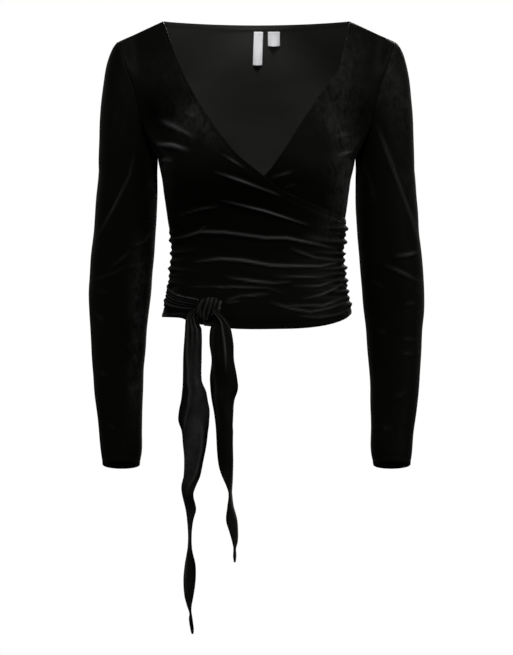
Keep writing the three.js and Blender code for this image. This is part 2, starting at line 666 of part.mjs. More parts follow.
// Front face of the dressed body in front of a place
function bodyFrontY(x, z) {
  return torsoPoint(x, z, -1).y - raiseOuter(x);
}

// The knot: a rounded pillow of cloth with slanting ridges, flattened where it lies on the front
function tieKnot() {
  const around = 20;
  const tiers = 11;
  const points = [new THREE.Vector3(0, 0, 1)];
  const faces = [];
  for (let j = 1; j < tiers; j += 1) {
    const tilt = (Math.PI * j) / tiers;
    for (let i = 0; i < around; i += 1) {
      const angle = (2 * Math.PI * i) / around;
      const flat = Math.sign(Math.cos(tilt)) * Math.abs(Math.cos(tilt)) ** 0.8;
      const reach = Math.sin(tilt) ** 0.6;
      points.push(new THREE.Vector3(reach * Math.cos(angle), reach * Math.sin(angle), flat));
    }
  }
  points.push(new THREE.Vector3(0, 0, -1));
  const end = points.length - 1;
  for (let i = 0; i < around; i += 1) {
    const next = (i + 1) % around;
    faces.push(0, 1 + i, 1 + next);
    for (let j = 0; j < tiers - 2; j += 1) {
      const a = 1 + j * around;
      faces.push(a + i, a + around + i, a + around + next, a + i, a + around + next, a + next);
    }
    const lastTier = 1 + (tiers - 2) * around;
    faces.push(lastTier + i, end, lastTier + next);
  }
  const seatY = bodyFrontY(KNOT.x, KNOT.z);
  const placed = points.map((p) => {
    const across = p.x + KNOT.slant * p.z;
    const ridge = p.y < 0 ? KNOT.ridge * Math.cos(across * Math.PI * (KNOT.ridges - 1)) : 0;
    const x = KNOT.x + (p.x * KNOT.wide) / 2 + p.z * KNOT.lean;
    const z = KNOT.z + (p.z * KNOT.tall) / 2;
    const y = seatY - KNOT.deep / 2 + (p.y * KNOT.deep) / 2 - ridge * Math.abs(p.y);
    return new THREE.Vector3(x, Math.min(y, bodyFrontY(x, z) - KNOT_LIFT), z);
  });
  return solid(placed, faces);
}

// A hanging end: one strip of doubled cloth, curled round its length and turned as it falls
function tieTail(table, frontY) {
  const acrossSteps = 6;
  const levels = [];
  table.slice(1).forEach((row, i) => levels.push(table[i].z, (table[i].z + row.z) / 2));
  levels.push(table[table.length - 1].z);
  const rings = levels.map((z) => {
    const strip = along(table, 'z', 'strip', z);
    const turn = radians(along(table, 'z', 'turn', z));
    const curl = radians(Math.max(along(table, 'z', 'curl', z), 6));
    const x = along(table, 'z', 'x', z);
    const radius = strip / curl;
    const sag = (radius * (1 - Math.cos(curl / 2))) / 2;
    return evenSteps(acrossSteps, -0.5, 0.5).map((v) => {
      const px = radius * Math.sin(v * curl);
      const py = radius * (1 - Math.cos(v * curl)) - sag;
      const rx = px * Math.cos(turn) - py * Math.sin(turn);
      const ry = px * Math.sin(turn) + py * Math.cos(turn);
      return new THREE.Vector3(x + rx, frontY + ry, z);
    });
  });
  return wall(rings.reverse(), { thickness: TAIL_WALL, move: () => TAIL_WALL / 2 });
}

// A label: a small plate hung inside the back neck, along the inner face of the back
function label({ x: left, drop, wide, tall }) {
  const rows = evenSteps(4, 1, 0).map((down) => evenSteps(3, 0, 1).map((share) => {
    const x = left + share * wide;
    return torsoPoint(x, NECK_Z - drop - down * tall, 1);
  }));
  return wall(rows, { flip: true, thickness: LABEL_WALL, move: () => -WALL - LABEL_LIFT });
}

const top = new THREE.Group();
top.name = 'wrap_top';

function place(name, geometry, material) {
  const mesh = new THREE.Mesh(geometry, material);
  mesh.name = name;
  top.add(mesh);
}

place('back', backPanel(), BODY_VELVET);
place('front_outer', frontOuter(), BODY_VELVET);
place('front_under', frontUnder(), BODY_VELVET);
place('sleeve_right', sleeve(-1), BODY_VELVET);
place('sleeve_left', sleeve(1), BODY_VELVET);
place('tie_wrap', tieWrap(), TIE_VELVET);
place('tie_knot', tieKnot(), TIE_VELVET);
place('tie_tail_long', tieTail(TAIL_LONG, TAIL_LONG_Y), TIE_VELVET);
place('tie_tail_short', tieTail(TAIL_SHORT, TAIL_SHORT_Y), TIE_VELVET);
for (const entry of LABELS) place(entry.name, label(entry), LABEL_WHITE);

export default top;
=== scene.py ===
import math
import bpy
import numpy as np
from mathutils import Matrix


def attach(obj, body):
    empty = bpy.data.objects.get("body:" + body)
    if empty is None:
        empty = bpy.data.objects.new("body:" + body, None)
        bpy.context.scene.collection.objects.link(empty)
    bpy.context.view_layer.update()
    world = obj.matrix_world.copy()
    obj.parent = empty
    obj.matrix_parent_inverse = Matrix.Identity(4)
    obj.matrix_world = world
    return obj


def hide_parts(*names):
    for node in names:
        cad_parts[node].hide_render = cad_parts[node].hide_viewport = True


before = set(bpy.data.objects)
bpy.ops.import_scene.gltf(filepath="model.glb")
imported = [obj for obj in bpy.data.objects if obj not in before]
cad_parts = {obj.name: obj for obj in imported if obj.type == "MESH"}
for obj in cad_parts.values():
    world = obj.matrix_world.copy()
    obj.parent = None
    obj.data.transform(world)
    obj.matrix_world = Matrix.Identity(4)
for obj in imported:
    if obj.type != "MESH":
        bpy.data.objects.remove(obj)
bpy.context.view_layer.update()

# Camera, light and surround
# The garment hangs level before a long lens four metres away. Soft lamps from above and from the right
# give the velvet its thin lit creases, and the surround is plain and pale.
SENSOR_TALL = 36
VIEW_TALL = 0.9301
CAMERA_AWAY, CAMERA_Z = 4.0, -0.418
WORLD_LIGHT = 0.12
FLOOR_Z, FLOOR_RADIUS, SWEEP_RADIUS = -0.93, 14, 15

lens = bpy.data.cameras.new("camera")
lens.sensor_fit = "VERTICAL"
lens.sensor_height = SENSOR_TALL
lens.lens = SENSOR_TALL * CAMERA_AWAY / VIEW_TALL
lens.clip_end = 60
camera = bpy.data.objects.new("camera", lens)
camera.location = (0, -CAMERA_AWAY, CAMERA_Z)
camera.rotation_euler = (math.pi / 2, 0, 0)
bpy.context.scene.collection.objects.link(camera)
bpy.context.scene.camera = camera
bpy.context.scene.view_settings.view_transform = "Standard"

# name, place, what it points at, size, watts
LAMPS = [
    ("lamp_top", (0.15, -1.1, 1.9), (0, 0, -0.3), 0.8, 70),
    ("lamp_right", (2.4, -1.2, 0.4), (0, 0, -0.35), 0.9, 36),
    ("lamp_left", (-2.2, -1.4, 0.5), (0, 0, -0.35), 1.0, 16),
    ("lamp_back", (0.5, 2.5, 1.2), (0, 0, -0.3), 1.2, 100),
]
for name, place, aim, size, watts in LAMPS:
    lamp = bpy.data.lights.new(name, "AREA")
    lamp.shape = "DISK"
    lamp.size = size
    lamp.energy = watts
    stand = bpy.data.objects.new(name, lamp)
    stand.location = place
    away = np.array(place, float) - np.array(aim, float)
    tilt = math.atan2(math.hypot(away[0], away[1]), away[2])
    stand.rotation_euler = (tilt, 0, math.atan2(away[0], -away[1]))
    bpy.context.scene.collection.objects.link(stand)

world = bpy.data.worlds.new("studio")
bpy.context.scene.world = world
world.use_nodes = True
background = world.node_tree.nodes["Background"]
background.inputs["Color"].default_value = (1, 1, 1, 1)
background.inputs["Strength"].default_value = WORLD_LIGHT


class Value:
    """A socket of numbers that can be added, taken away and multiplied."""

    def __init__(self, finish, socket):
        self.finish = finish
        self.socket = socket

    def __add__(self, other):
        return self.finish.maths("ADD", self, other)

    __radd__ = __add__

    def __sub__(self, other):
        return self.finish.maths("SUBTRACT", self, other)

    def __rsub__(self, other):
        return self.finish.maths("SUBTRACT", other, self)

    def __mul__(self, other):
        return self.finish.maths("MULTIPLY", self, other)

    __rmul__ = __mul__


class Finish:
    """One material, built node by node."""

    def __init__(self, name):
        self.material = bpy.data.materials.new(name)
        self.material.use_nodes = True
        self.tree = self.material.node_tree
        self.tree.nodes.clear()

    def node(self, kind, settings=None, sockets=None, out=0):
        made = self.tree.nodes.new(kind)
        for key, value in (settings or {}).items():
            setattr(made, key, value)
        for key, value in (sockets or {}).items():
            if isinstance(value, Value):
                self.tree.links.new(value.socket, made.inputs[key])
            else:
                made.inputs[key].default_value = value
        return Value(self, made.outputs[out])

    def maths(self, operation, first, second=0.0):
        return self.node("ShaderNodeMath", {"operation": operation}, {0: first, 1: second})

    def place(self):
        """Where a point lies on the garment, in metres."""
        return self.node("ShaderNodeTexCoord", out=3)

    def mark(self, name):
        """The number that the piece's mesh carries at each point under this name."""
        return self.node("ShaderNodeAttribute", {"attribute_name": name}, out=2)

    def scaled(self, value, low, high, at_low, at_high):
        return self.node("ShaderNodeMapRange", {}, {0: value, 1: low, 2: high, 3: at_low, 4: at_high})

    def blend(self, share, low, high):
        return self.node("ShaderNodeMix", {"data_type": "RGBA"}, {0: share, 6: low, 7: high}, out=2)

    def bump(self, height, strength, distance, over=None):
        sockets = {"Strength": strength, "Distance": distance, "Height": height}
        if over is not None:
            sockets["Normal"] = over
        return self.node("ShaderNodeBump", {}, sockets)

    def surface(self, shader):
        end = self.tree.nodes.new("ShaderNodeOutputMaterial")
        self.tree.links.new(shader.socket, end.inputs["Surface"])
        return self.material


def surround_finish():
    pale = Finish("pale_surround")
    return pale.surface(pale.node("ShaderNodeEmission", {}, {"Color": (1, 1, 1, 1), "Strength": 1.0}))


PALE = surround_finish()
bpy.ops.object.select_all(action="DESELECT")
bpy.ops.mesh.primitive_circle_add(
    vertices=64, radius=FLOOR_RADIUS, fill_type="NGON", location=(0, 0, FLOOR_Z)
)
floor = bpy.context.object
floor.name = "floor"
bpy.ops.object.select_all(action="DESELECT")
bpy.ops.mesh.primitive_uv_sphere_add(
    segments=48, ring_count=24, radius=SWEEP_RADIUS, location=(0, 0, 0)
)
sweep = bpy.context.object
sweep.name = "sweep"
for thing in (floor, sweep):
    thing.data.materials.append(PALE)
    thing.visible_diffuse = False
    thing.visible_glossy = False
    thing.visible_shadow = False

# Fronts
# The wearer's right front laps over the left. Both are black stretch velvet with a charcoal knitted back,
# turned in once along each free edge and sewn 6 mm from the fold. The upper one is gathered into both side
# seams on elastic thread and pulled to the knot, and the lower one lies plain beneath it.

# The fitted form that every panel is cut from, in millimetres. Below the underarm a section is a rounded
# oval, above it the front and the back bow gently between the armholes.
CLOTH = 1.2
LAP, LAP_REACH = 3.0, 141.0
SHOULDER_Z, SHOULDER_X = -11.5, 197.0
NECK_Z, NECK_X = 18.0, 133.0
NECK_SHARE = NECK_X / SHOULDER_X
SEAM_Y = 8.0
UNDERARM_Z, HEM_Z = -178.0, -419.0
ARM_MIDDLE, ARM_HALF = (SHOULDER_Z + UNDERARM_Z) / 2, (SHOULDER_Z - UNDERARM_Z) / 2
WRAP_END_Z, WRAP_END_DROP = -266.0, 24.0
SHOULDER_ROUNDING, ARMHOLE_DEPTH = 90.0, 47.0
OVAL_Z, OVAL_POWER = -205, 2.4
BOW_Z, BOW_POWER = -115, 2.2
EASING_STEPS, EASED_UP_TO, INSET_FROM = (-24, -16, -8, 0, 8, 16, 24), 0.7, 0.82
SLOPE_STEP = 1.2

# level, half the width, how far the front stands out, how far the back stands out
TORSO = [
    (40, 141, 58, 60), (18, 141, 62, 66), (-20, 141, 70, 76), (-60, 141, 84, 87), (-100, 141, 97, 95),
    (-140, 141, 111, 98), (-178, 140, 119, 97), (-208, 134, 118, 93), (-231, 130.6, 111, 89),
    (-254, 127.6, 103, 85), (-288, 121.8, 96, 81), (-311, 119.4, 94, 81), (-322, 120.4, 94, 82),
    (-345, 122.6, 96, 86), (-368, 124.8, 99, 92), (-390, 131, 102, 98), (-405, 135, 104, 102),
    (-425, 136, 105, 105),
]
# level, the armhole's distance from the middle
ARMHOLE = [
    (-178, 140), (-174, 142.6), (-142, 158), (-112, 166), (-85, 172.6), (-55, 183.5), (-11.5, 197),
]
# share of the half breadth, how far the hem rises there
HEM = [
    (-1, 17), (-0.78, 15), (-0.66, 8), (-0.5, 5), (-0.2, 0), (0.3, 0), (0.5, 1.2), (0.67, 4), (0.8, 8),
    (0.92, 14), (1, 21),
]


def along(rows, column, at):
    """Reads one column of a table on a smooth curve through its rows."""
    place = np.array([row[0] for row in rows], float)
    value = np.array([row[column] for row in rows], float)
    if place[0] > place[-1]:
        place, value = place[::-1], value[::-1]
    slope = np.empty_like(value)
    slope[1:-1] = (value[2:] - value[:-2]) / (place[2:] - place[:-2])
    slope[0] = (value[1] - value[0]) / (place[1] - place[0])
    slope[-1] = (value[-1] - value[-2]) / (place[-1] - place[-2])
    at = np.clip(np.asarray(at, float), place[0], place[-1])
    row = np.clip(np.searchsorted(place, at, side="right") - 1, 0, len(place) - 2)
    span = place[row + 1] - place[row]
    t = (at - place[row]) / span
    return (
        (2 * t**3 - 3 * t**2 + 1) * value[row] + (t**3 - 2 * t**2 + t) * slope[row] * span
        + (3 * t**2 - 2 * t**3) * value[row + 1] + (t**3 - t**2) * slope[row + 1] * span
    )


def smooth(value, low, high):
    """Goes softly from 0 at low to 1 at high."""
    t = np.clip((np.asarray(value, float) - low) / (high - low), 0, 1)
    return t * t * (3 - 2 * t)


def mix(low, high, share):
    return low + (high - low) * share


def hump(distance, breadth):
    """A soft hump: 1 in its middle, a third at its breadth and nearly 0 at twice that."""
    return np.exp(-((distance / breadth) ** 2))


def unit(v):
    return v / np.maximum(np.linalg.norm(v, axis=-1, keepdims=True), 1e-9)


def shoulder_line(x):
    return NECK_Z - (np.abs(x) - NECK_X) * (NECK_Z - SHOULDER_Z) / (SHOULDER_X - NECK_X)


def spread(z):
    """Half the form's width at a level, which above the underarm ends at the armhole."""
    at_armhole = along(ARMHOLE, 1, np.minimum(z, SHOULDER_Z))
    return np.where(z <= UNDERARM_Z, along(TORSO, 1, z), at_armhole)


def hem_level(share):
    return HEM_Z + along(HEM, 1, share)


def torso_point(x, z, side):
    """Points of the body's form. side is -1 for the front and 1 for the back."""
    x, z = np.broadcast_arrays(np.asarray(x, float), np.asarray(z, float))
    side = np.broadcast_to(side, x.shape)
    depth = np.where(side < 0, along(TORSO, 2, z), along(TORSO, 3, z))
    line = shoulder_line(x)
    below = np.clip((line - z) / SHOULDER_ROUNDING, 0, 1)
    rounding = np.sqrt(1 - (1 - below) ** 2)
    rise = np.clip((z - UNDERARM_Z) / (line - UNDERARM_Z), 0, 1)
    share = np.minimum(np.abs(x / spread(z)), 1)
    eased = sum(spread(z + step) for step in EASING_STEPS) / len(EASING_STEPS)
    share = np.minimum(mix(np.abs(x / eased), share, smooth(share, EASED_UP_TO, 1)), 1)
    off_seam = smooth(rise, 0, 0.5) * smooth(1 - rise, 0, 0.5)
    at_seam = np.sqrt(np.clip(1 - (2 * rise - 1) ** 2, 0, 1))
    inset = ARMHOLE_DEPTH * mix(off_seam, at_seam, smooth(share, INSET_FROM, 1) ** 2)
    oval = (1 - share**OVAL_POWER) ** (1 / OVAL_POWER)
    curve = mix(oval, 1 - share**BOW_POWER, smooth(z, OVAL_Z, BOW_Z))
    out = inset + (depth - inset) * curve * rounding
    y = SEAM_Y * smooth(z, UNDERARM_Z, SHOULDER_Z) + side * out
    return np.stack([x, y, z], axis=-1)


def form_normal(net, side):
    """The direction straight out of the body's form at each point of a net."""
    x, z = net[..., 0], net[..., 2]
    half = spread(z)
    right = torso_point(np.minimum(x + SLOPE_STEP, half), z, side)
    left = torso_point(np.maximum(x - SLOPE_STEP, -half), z, side)
    up = torso_point(x, z + SLOPE_STEP, side) - torso_point(x, z - SLOPE_STEP, side)
    normal = unit(np.cross(right - left, up))
    return normal * np.where(normal[..., 1:2] * side < 0, -1, 1)


def lengths(net, axis):
    """How far along a net each point lies, measured on the cloth."""
    step = np.linalg.norm(np.diff(net, axis=axis), axis=-1)
    start = np.zeros_like(np.take(step, [0], axis=axis))
    return np.concatenate([start, np.cumsum(step, axis=axis)], axis=axis)


# Black pile that goes light where it is seen from the side. Painted sheen in soft patches and painted
# highlights along the crests of its creases and folds are mixed into its colour. The knitted back shows
# inside the neck, and painted light makes it a little paler towards the neck edge.
BLACK = (0.0011, 0.0011, 0.0007, 1)
# the colour that the painted sheen and painted highlights lighten the black towards
PAINTED_HIGHLIGHT_COLOUR = (0.030, 0.030, 0.030, 1)
CHARCOAL = (0.0110, 0.0109, 0.0101, 1)
CHARCOAL_LIGHT = (0.0180, 0.0178, 0.0166, 1)
# painted light: the back's colour at the neck edge, and the levels over which it grows paler towards it
CHARCOAL_PAINTED_LIT = (0.049, 0.0485, 0.0455, 1)
PAINTED_LIGHT_FROM, PAINTED_LIGHT_TO = -0.11, NECK_Z / 1000
SHEEN_TINT = (0.85, 0.85, 0.78, 1)
# how far the stitch line lies from the fold, and the turns of its dashes in radians a millimetre
STITCH_LINE, STITCH_PACE = 6.0, 2.24


def stitches(cloth):
    """Raised thread along a hem, from the distance to its edge and the place along it."""
    edge, run = cloth.mark("edge"), cloth.mark("run")
    off_line = cloth.maths("ABSOLUTE", edge - STITCH_LINE)
    line = cloth.scaled(off_line, 0.2, 0.55, 1.0, 0.0)
    dash = cloth.maths("SINE", run * STITCH_PACE)
    return line * cloth.scaled(dash, -0.5, 0.1, 0.0, 1.0)


def velvet_finish():
    cloth = Finish("velvet")
    place = cloth.place()
    sheen_mottle_way = cloth.node("ShaderNodeMapping", {}, {"Vector": place, "Scale": (85, 85, 60)})
    sheen_mottle = cloth.node("ShaderNodeTexNoise", {}, {
        "Vector": sheen_mottle_way, "Scale": 1.0, "Detail": 5.0, "Roughness": 0.72, "Distortion": 0.5,
    })
    streak_way = cloth.node("ShaderNodeMapping", {}, {"Vector": place, "Scale": (190, 190, 110)})
    streak = cloth.node("ShaderNodeTexNoise", {}, {"Vector": streak_way, "Scale": 1.0, "Detail": 3.0})
    pile = cloth.node("ShaderNodeTexNoise", {}, {"Vector": place, "Scale": 1500.0, "Detail": 1.0})
    sewn = stitches(cloth)
    # painted sheen: lighter colour in the marked patches, mottled by noise
    painted_sheen_share = cloth.mark("painted_sheen") * cloth.scaled(sheen_mottle, 0.40, 0.62, 0.15, 1.0) * (0.6 + streak * 0.8)
    # painted highlight along the crests of creases and folds
    painted_highlight_share = cloth.mark("painted_highlight") * (0.9 + streak * 0.6)
    grain = cloth.bump(pile, 0.28, 0.0004)
    brushing = cloth.bump(streak, 0.2, 0.0016, grain)
    shader = cloth.node("ShaderNodeBsdfPrincipled", {}, {
        "Base Color": cloth.blend(painted_sheen_share + painted_highlight_share + sewn * 0.05, BLACK, PAINTED_HIGHLIGHT_COLOUR),
        "Roughness": 0.62,
        "Specular IOR Level": 0.02,
        "Sheen Weight": 0.062,
        "Sheen Roughness": 0.3,
        "Sheen Tint": SHEEN_TINT,
        "Normal": cloth.bump(sewn, 0.5, 0.0004, brushing),
    })
    return cloth.surface(shader)


def backing_finish():
    cloth = Finish("velvet_back")
    place = cloth.place()
    wales = cloth.node("ShaderNodeTexWave", {"wave_type": "BANDS", "bands_direction": "X"}, {
        "Vector": place, "Scale": 310.0, "Distortion": 0.6, "Detail": 1.0,
    })
    courses = cloth.node("ShaderNodeTexWave", {"wave_type": "BANDS", "bands_direction": "Z"}, {
        "Vector": place, "Scale": 380.0, "Distortion": 0.6, "Detail": 1.0,
    })
    cloudy = cloth.node("ShaderNodeTexNoise", {}, {"Vector": place, "Scale": 16.0, "Detail": 3.0})
    knit = wales * courses
    sewn = stitches(cloth)
    colour = cloth.blend(knit * 0.35 + cloudy * 0.45 + sewn * 0.4, CHARCOAL, CHARCOAL_LIGHT)
    # painted light: the colour grows paler towards the neck edge
    level = cloth.node("ShaderNodeSeparateXYZ", {}, {"Vector": place}, out=2)
    painted_light_share = cloth.scaled(level, PAINTED_LIGHT_FROM, PAINTED_LIGHT_TO, 0.0, 1.0)
    shader = cloth.node("ShaderNodeBsdfPrincipled", {}, {
        "Base Color": cloth.blend(painted_light_share * painted_light_share, colour, CHARCOAL_PAINTED_LIT),
        "Roughness": 0.9,
        "Specular IOR Level": 0.04,
        "Sheen Weight": 0.03,
        "Sheen Roughness": 0.5,
        "Normal": cloth.bump(sewn, 0.7, 0.0006, cloth.bump(knit, 0.35, 0.0004)),
    })
    return cloth.surface(shader)


VELVET = velvet_finish()
BACKING = backing_finish()


def finish_mesh(name, points, faces, inside, materials, marks):
    """Makes the piece from points in millimetres. inside tells which faces are the cloth's inside."""
    points = np.asarray(points, float) / 1000
    halves = [f[:3] for f in faces] + [[f[0], f[-2], f[-1]] for f in faces if len(f) > 3]
    corners = points[np.array(halves)]
    if (corners[:, 0] * np.cross(corners[:, 1], corners[:, 2])).sum() < 0:
        faces = [f[::-1] for f in faces]
    mesh = bpy.data.meshes.new(name + "_cloth")
    mesh.from_pydata(points.tolist(), [], faces)
    for mark, values in marks.items():
        layer = mesh.attributes.new(mark, "FLOAT", "POINT")
        layer.data.foreach_set("value", np.asarray(values, np.float32))
    for material in materials:
        mesh.materials.append(material)
    mesh.polygons.foreach_set("use_smooth", [True] * len(faces))
    index = np.zeros(len(faces), np.int32)
    index[inside] = len(materials) - 1
    mesh.polygons.foreach_set("material_index", index)
    mesh.update()
    piece = bpy.data.objects.new(name + "_cloth", mesh)
    bpy.context.scene.collection.objects.link(piece)
    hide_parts(name)
    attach(piece, "root")
    return piece


EDGE_ROUND = 0.9


def shell(name, net, normal, lift, depth, materials, marks, ring=False):
    """A thin closed piece of cloth over a net of points, with rounded edges."""
    rows, across = net.shape[:2]
    outer = net + normal * lift[..., None]
    inner = outer - normal * depth[..., None]
    count = rows * across
    index = np.arange(count).reshape(rows, across)
    right = np.roll(index, -1, axis=1) if ring else index[:, 1:]
    left = index if ring else index[:, :-1]
    quads = np.stack([left[:-1], right[:-1], right[1:], left[1:]], axis=-1).reshape(-1, 4)
    faces = quads.tolist() + (quads[:, ::-1] + count).tolist()
    if ring:
        loops = [(index[0], index[1], True), (index[-1], index[-2], False)]
    else:
        way = [(0, i) for i in range(across)]
        way += [(j, across - 1) for j in range(1, rows)]
        way += [(rows - 1, i) for i in range(across - 2, -1, -1)]
        way += [(j, 0) for j in range(rows - 2, 0, -1)]
        edge = [index[j, i] for j, i in way]
        within = [index[min(max(j, 1), rows - 2), min(max(i, 1), across - 2)] for j, i in way]
        loops = [(edge, within, True)]
    outer, inner, normal = (part.reshape(-1, 3) for part in (outer, inner, normal))
    points = [outer, inner]
    source = [np.arange(count), np.arange(count)]
    used = 2 * count
    for edge, within, forward in loops:
        out = outer[edge] - outer[within]
        out = unit(out - normal[edge] * (out * normal[edge]).sum(-1, keepdims=True))
        half = depth.reshape(-1)[edge][:, None] / 2
        points.append((outer[edge] + inner[edge]) / 2 + out * half * EDGE_ROUND)
        source.append(edge)
        n = len(edge)
        for i in range(n):
            k = (i + 1) % n
            a, b, c, d = edge[i], edge[k], used + k, used + i
            e, f = edge[k] + count, edge[i] + count
            faces += [[b, a, d, c], [c, d, f, e]] if forward else [[a, b, c, d], [d, c, e, f]]
        used += n
    source = np.concatenate(source)
    marks = {mark: values.reshape(-1)[source] for mark, values in marks.items()}
    inside = slice(len(quads), 2 * len(quads))
    return finish_mesh(name, np.concatenate(points), faces, inside, materials, marks)


# The lap is pulled to the knot, so creases run across the waist. Each is a soft ridge between two shallow
# troughs with a painted highlight along its crest, and the breadths of its parts are shares of the half
# breadth in the table.
CREST_WIDE, TROUGH_WIDE, EDGE_WIDE = 0.72, 2.3, 0.48
TROUGH_DEEP = 0.30
# the first value is the strength of the painted highlight along each crest
CREST_PAINTED_HIGHLIGHT, FULL_HEIGHT, CREASE_WAVER = 1.15, 3, 0.14
# height, half its breadth, the line it follows as x and z
OUTER_CREASES = [
    (3.0, 3.4, [(-59, -203), (-15, -218), (31, -235)]),
    (3.2, 3.2, [(-49, -242), (12, -257), (71, -276)]),
    (1.6, 2.8, [(-111, -262), (-92, -257), (-74, -253), (-49, -250)]),
    (3.5, 3.2, [(-118, -295), (-95, -290), (-78, -285), (-45, -286), (13, -294), (42, -294), (110, -308)]),
    (1.2, 2.6, [(-79, -282), (-68, -277)]),
    (1.8, 3.0, [(45, -308), (81, -321), (118, -325)]),
    (3.2, 3.2, [(-88, -327), (-51, -323), (-21, -325), (19, -332), (42, -333), (87, -333), (119, -325)]),
    (2.3, 2.8, [(-45, -348), (2, -355), (26, -357), (49, -355)]),
    (1.7, 3.0, [(23, -348), (87, -348), (120, -341)]),
    (1.5, 2.4, [(-103, -361), (-56, -362), (13, -363), (42, -372)]),
    (1.6, 2.6, [(-45, -382), (-24, -375), (19, -372)]),
    (1.3, 2.4, [(-45, -384), (-23, -382)]),
    (2.0, 2.8, [(18, -383), (46, -392), (74, -397), (102, -391), (128, -381)]),
    (1.7, 2.8, [(49, -361), (84, -361), (106, -354), (123, -344)]),
    (2.0, 2.8, [(62, -380), (91, -372), (109, -363), (124, -351)]),
    (1.9, 2.8, [(39, -388), (67, -388), (91, -388), (126, -375)]),
    (1.4, 2.6, [(58, -402), (88, -405), (112, -400), (131, -392)]),
    (3.1, 4.8, [(-137, -127), (-114, -138), (-88, -153)]),
    (4.1, 4.8, [(-141, -160), (-117, -164), (-94, -172)]),
    (1.6, 4.4, [(-136, -182), (-117, -186)]),
    (1.3, 5.0, [(-103, -116), (-80, -129)]),
    (1.6, 3.4, [(-48, -179), (-16, -199)]),
    (0.9, 6.0, [(60, -290), (95, -296), (122, -297)]),
    (0.8, 4.0, [(70, -404), (105, -402), (128, -396)]),
    (1.8, 1.8, [(-132, -399), (-112, -399), (-90, -397)]),
]
UNDER_CREASES = [
    (1.6, 2.8, [(20, -212), (34, -208), (51, -203)]),
    (1.2, 2.6, [(36, -226), (55, -221)]),
    (1.9, 4.4, [(112, -178), (138, -170)]),
    (1.1, 5.0, [(108, -152), (135, -146)]),
    (0.8, 7.0, [(80, -96), (112, -122), (136, -136)]),
]
# side, level, how far it reaches in, height
GATHERS = [
    (1, -269, 14, 0.8), (1, -277, 24, 2.1), (1, -286, 18, 1.1), (1, -296, 34, 2.6), (1, -304, 20, 1.0),
    (1, -314, 30, 2.5), (1, -323, 40, 1.5), (1, -334, 32, 2.7), (1, -342, 44, 1.6), (1, -352, 32, 2.3),
    (1, -359, 46, 1.5), (1, -368, 36, 2.3), (1, -377, 44, 1.5), (1, -386, 30, 1.8), (1, -395, 18, 0.8),
    (-1, -284, 14, 0.8), (-1, -294, 22, 1.9), (-1, -304, 16, 0.9), (-1, -313, 26, 2.1),
    (-1, -325, 18, 1.2), (-1, -335, 24, 2.0), (-1, -345, 16, 1.0), (-1, -354, 20, 1.5),
]
GATHER_WIDE, GATHER_EDGE_WIDE, GATHER_DRIFT = 3.2, 2.0, 0.10
GATHER_LOW, GATHER_AT_SEAM, GATHER_SEAM_WIDE = 0.70, 1.40, 8
# the first value is the strength of the painted highlight along the gathers
GATHER_PAINTED_HIGHLIGHT, GATHER_FULL_HEIGHT = 0.25, 2.4


def nearest(line, x, z):
    """Distance to a line of points, and the share of its length that lies behind."""
    line = np.array(line, float)
    reach = np.concatenate([[0], np.cumsum(np.hypot(*np.diff(line, axis=0).T))])
    best, share = np.full(x.shape, 1e9), np.zeros(x.shape)
    for (ax, az), (bx, bz), start, stop in zip(line[:-1], line[1:], reach[:-1], reach[1:]):
        span = (bx - ax) ** 2 + (bz - az) ** 2
        t = np.clip(((x - ax) * (bx - ax) + (z - az) * (bz - az)) / span, 0, 1)
        gap = np.hypot(x - ax - t * (bx - ax), z - az - t * (bz - az))
        nearer = gap < best
        share = np.where(nearer, (start + t * (stop - start)) / reach[-1], share)
        best = np.where(nearer, gap, best)
    return best, share


def creases(table, x, z):
    """The height of the creases, which fade at both ends, and the painted highlight along their crests."""
    height, edge = np.zeros(x.shape), np.zeros(x.shape)
    for high, half, line in table:
        gap, share = nearest(line, x, z)
        fade = np.clip(np.sin(np.pi * (0.02 + 0.96 * share)), 0, 1) ** 0.7
        fade = fade * (1 - CREASE_WAVER + CREASE_WAVER * np.sin(share * 9 + line[0][1]))
        crest, trough = hump(gap, CREST_WIDE * half), hump(gap, TROUGH_WIDE * half)
        height += high * fade * (crest - TROUGH_DEEP * trough)
        painted_light = CREST_PAINTED_HIGHLIGHT * fade**1.5 * (high / FULL_HEIGHT) ** 1.4
        edge = np.maximum(edge, painted_light * hump(gap, EDGE_WIDE * half))
    return height, edge


def gathered(x, z, half):
    """The puckers at the side seams: their height, and the painted highlight along their edges."""
    height, edge = np.zeros(x.shape), np.zeros(x.shape)
    for side, level, reach, high in GATHERS:
        inward = half - side * x
        drift = level + inward * GATHER_DRIFT * np.sin(level)
        wave = hump(z - drift, GATHER_WIDE) * hump(inward, reach)
        raised = GATHER_LOW + GATHER_AT_SEAM * hump(inward, GATHER_SEAM_WIDE)
        height = np.maximum(height, high * wave * raised)
        painted_light = GATHER_PAINTED_HIGHLIGHT * high / GATHER_FULL_HEIGHT
        edge = np.maximum(edge, painted_light * hump(z - drift, GATHER_EDGE_WIDE) * wave)
    return height, edge


def patches(table, x, z):
    """Soft patches of painted sheen, where the colour is made lighter as if the velvet caught the light."""
    painted_light = np.zeros(x.shape)
    for amount, px, pz, wide, tall, lean in table:
        u, w = x - px, z - pz
        c, s = math.cos(math.radians(lean)), math.sin(math.radians(lean))
        painted_light += amount * hump(u * c + w * s, wide) * hump(w * c - u * s, tall)
    return np.clip(painted_light, 0, 1)


def slack(x, z, way=0.0):
    """Slow uneven waves in the cloth between the creases."""
    a = np.sin(x * 0.021 + z * 0.083 + 1.3 + way) * np.sin(x * 0.013 - z * 0.031 + way)
    b = np.sin(x * 0.047 - z * 0.142 + 0.4 + 2 * way) * np.sin(x * 0.009 + z * 0.022 + 2.1)
    return 0.55 * a + 0.3 * b


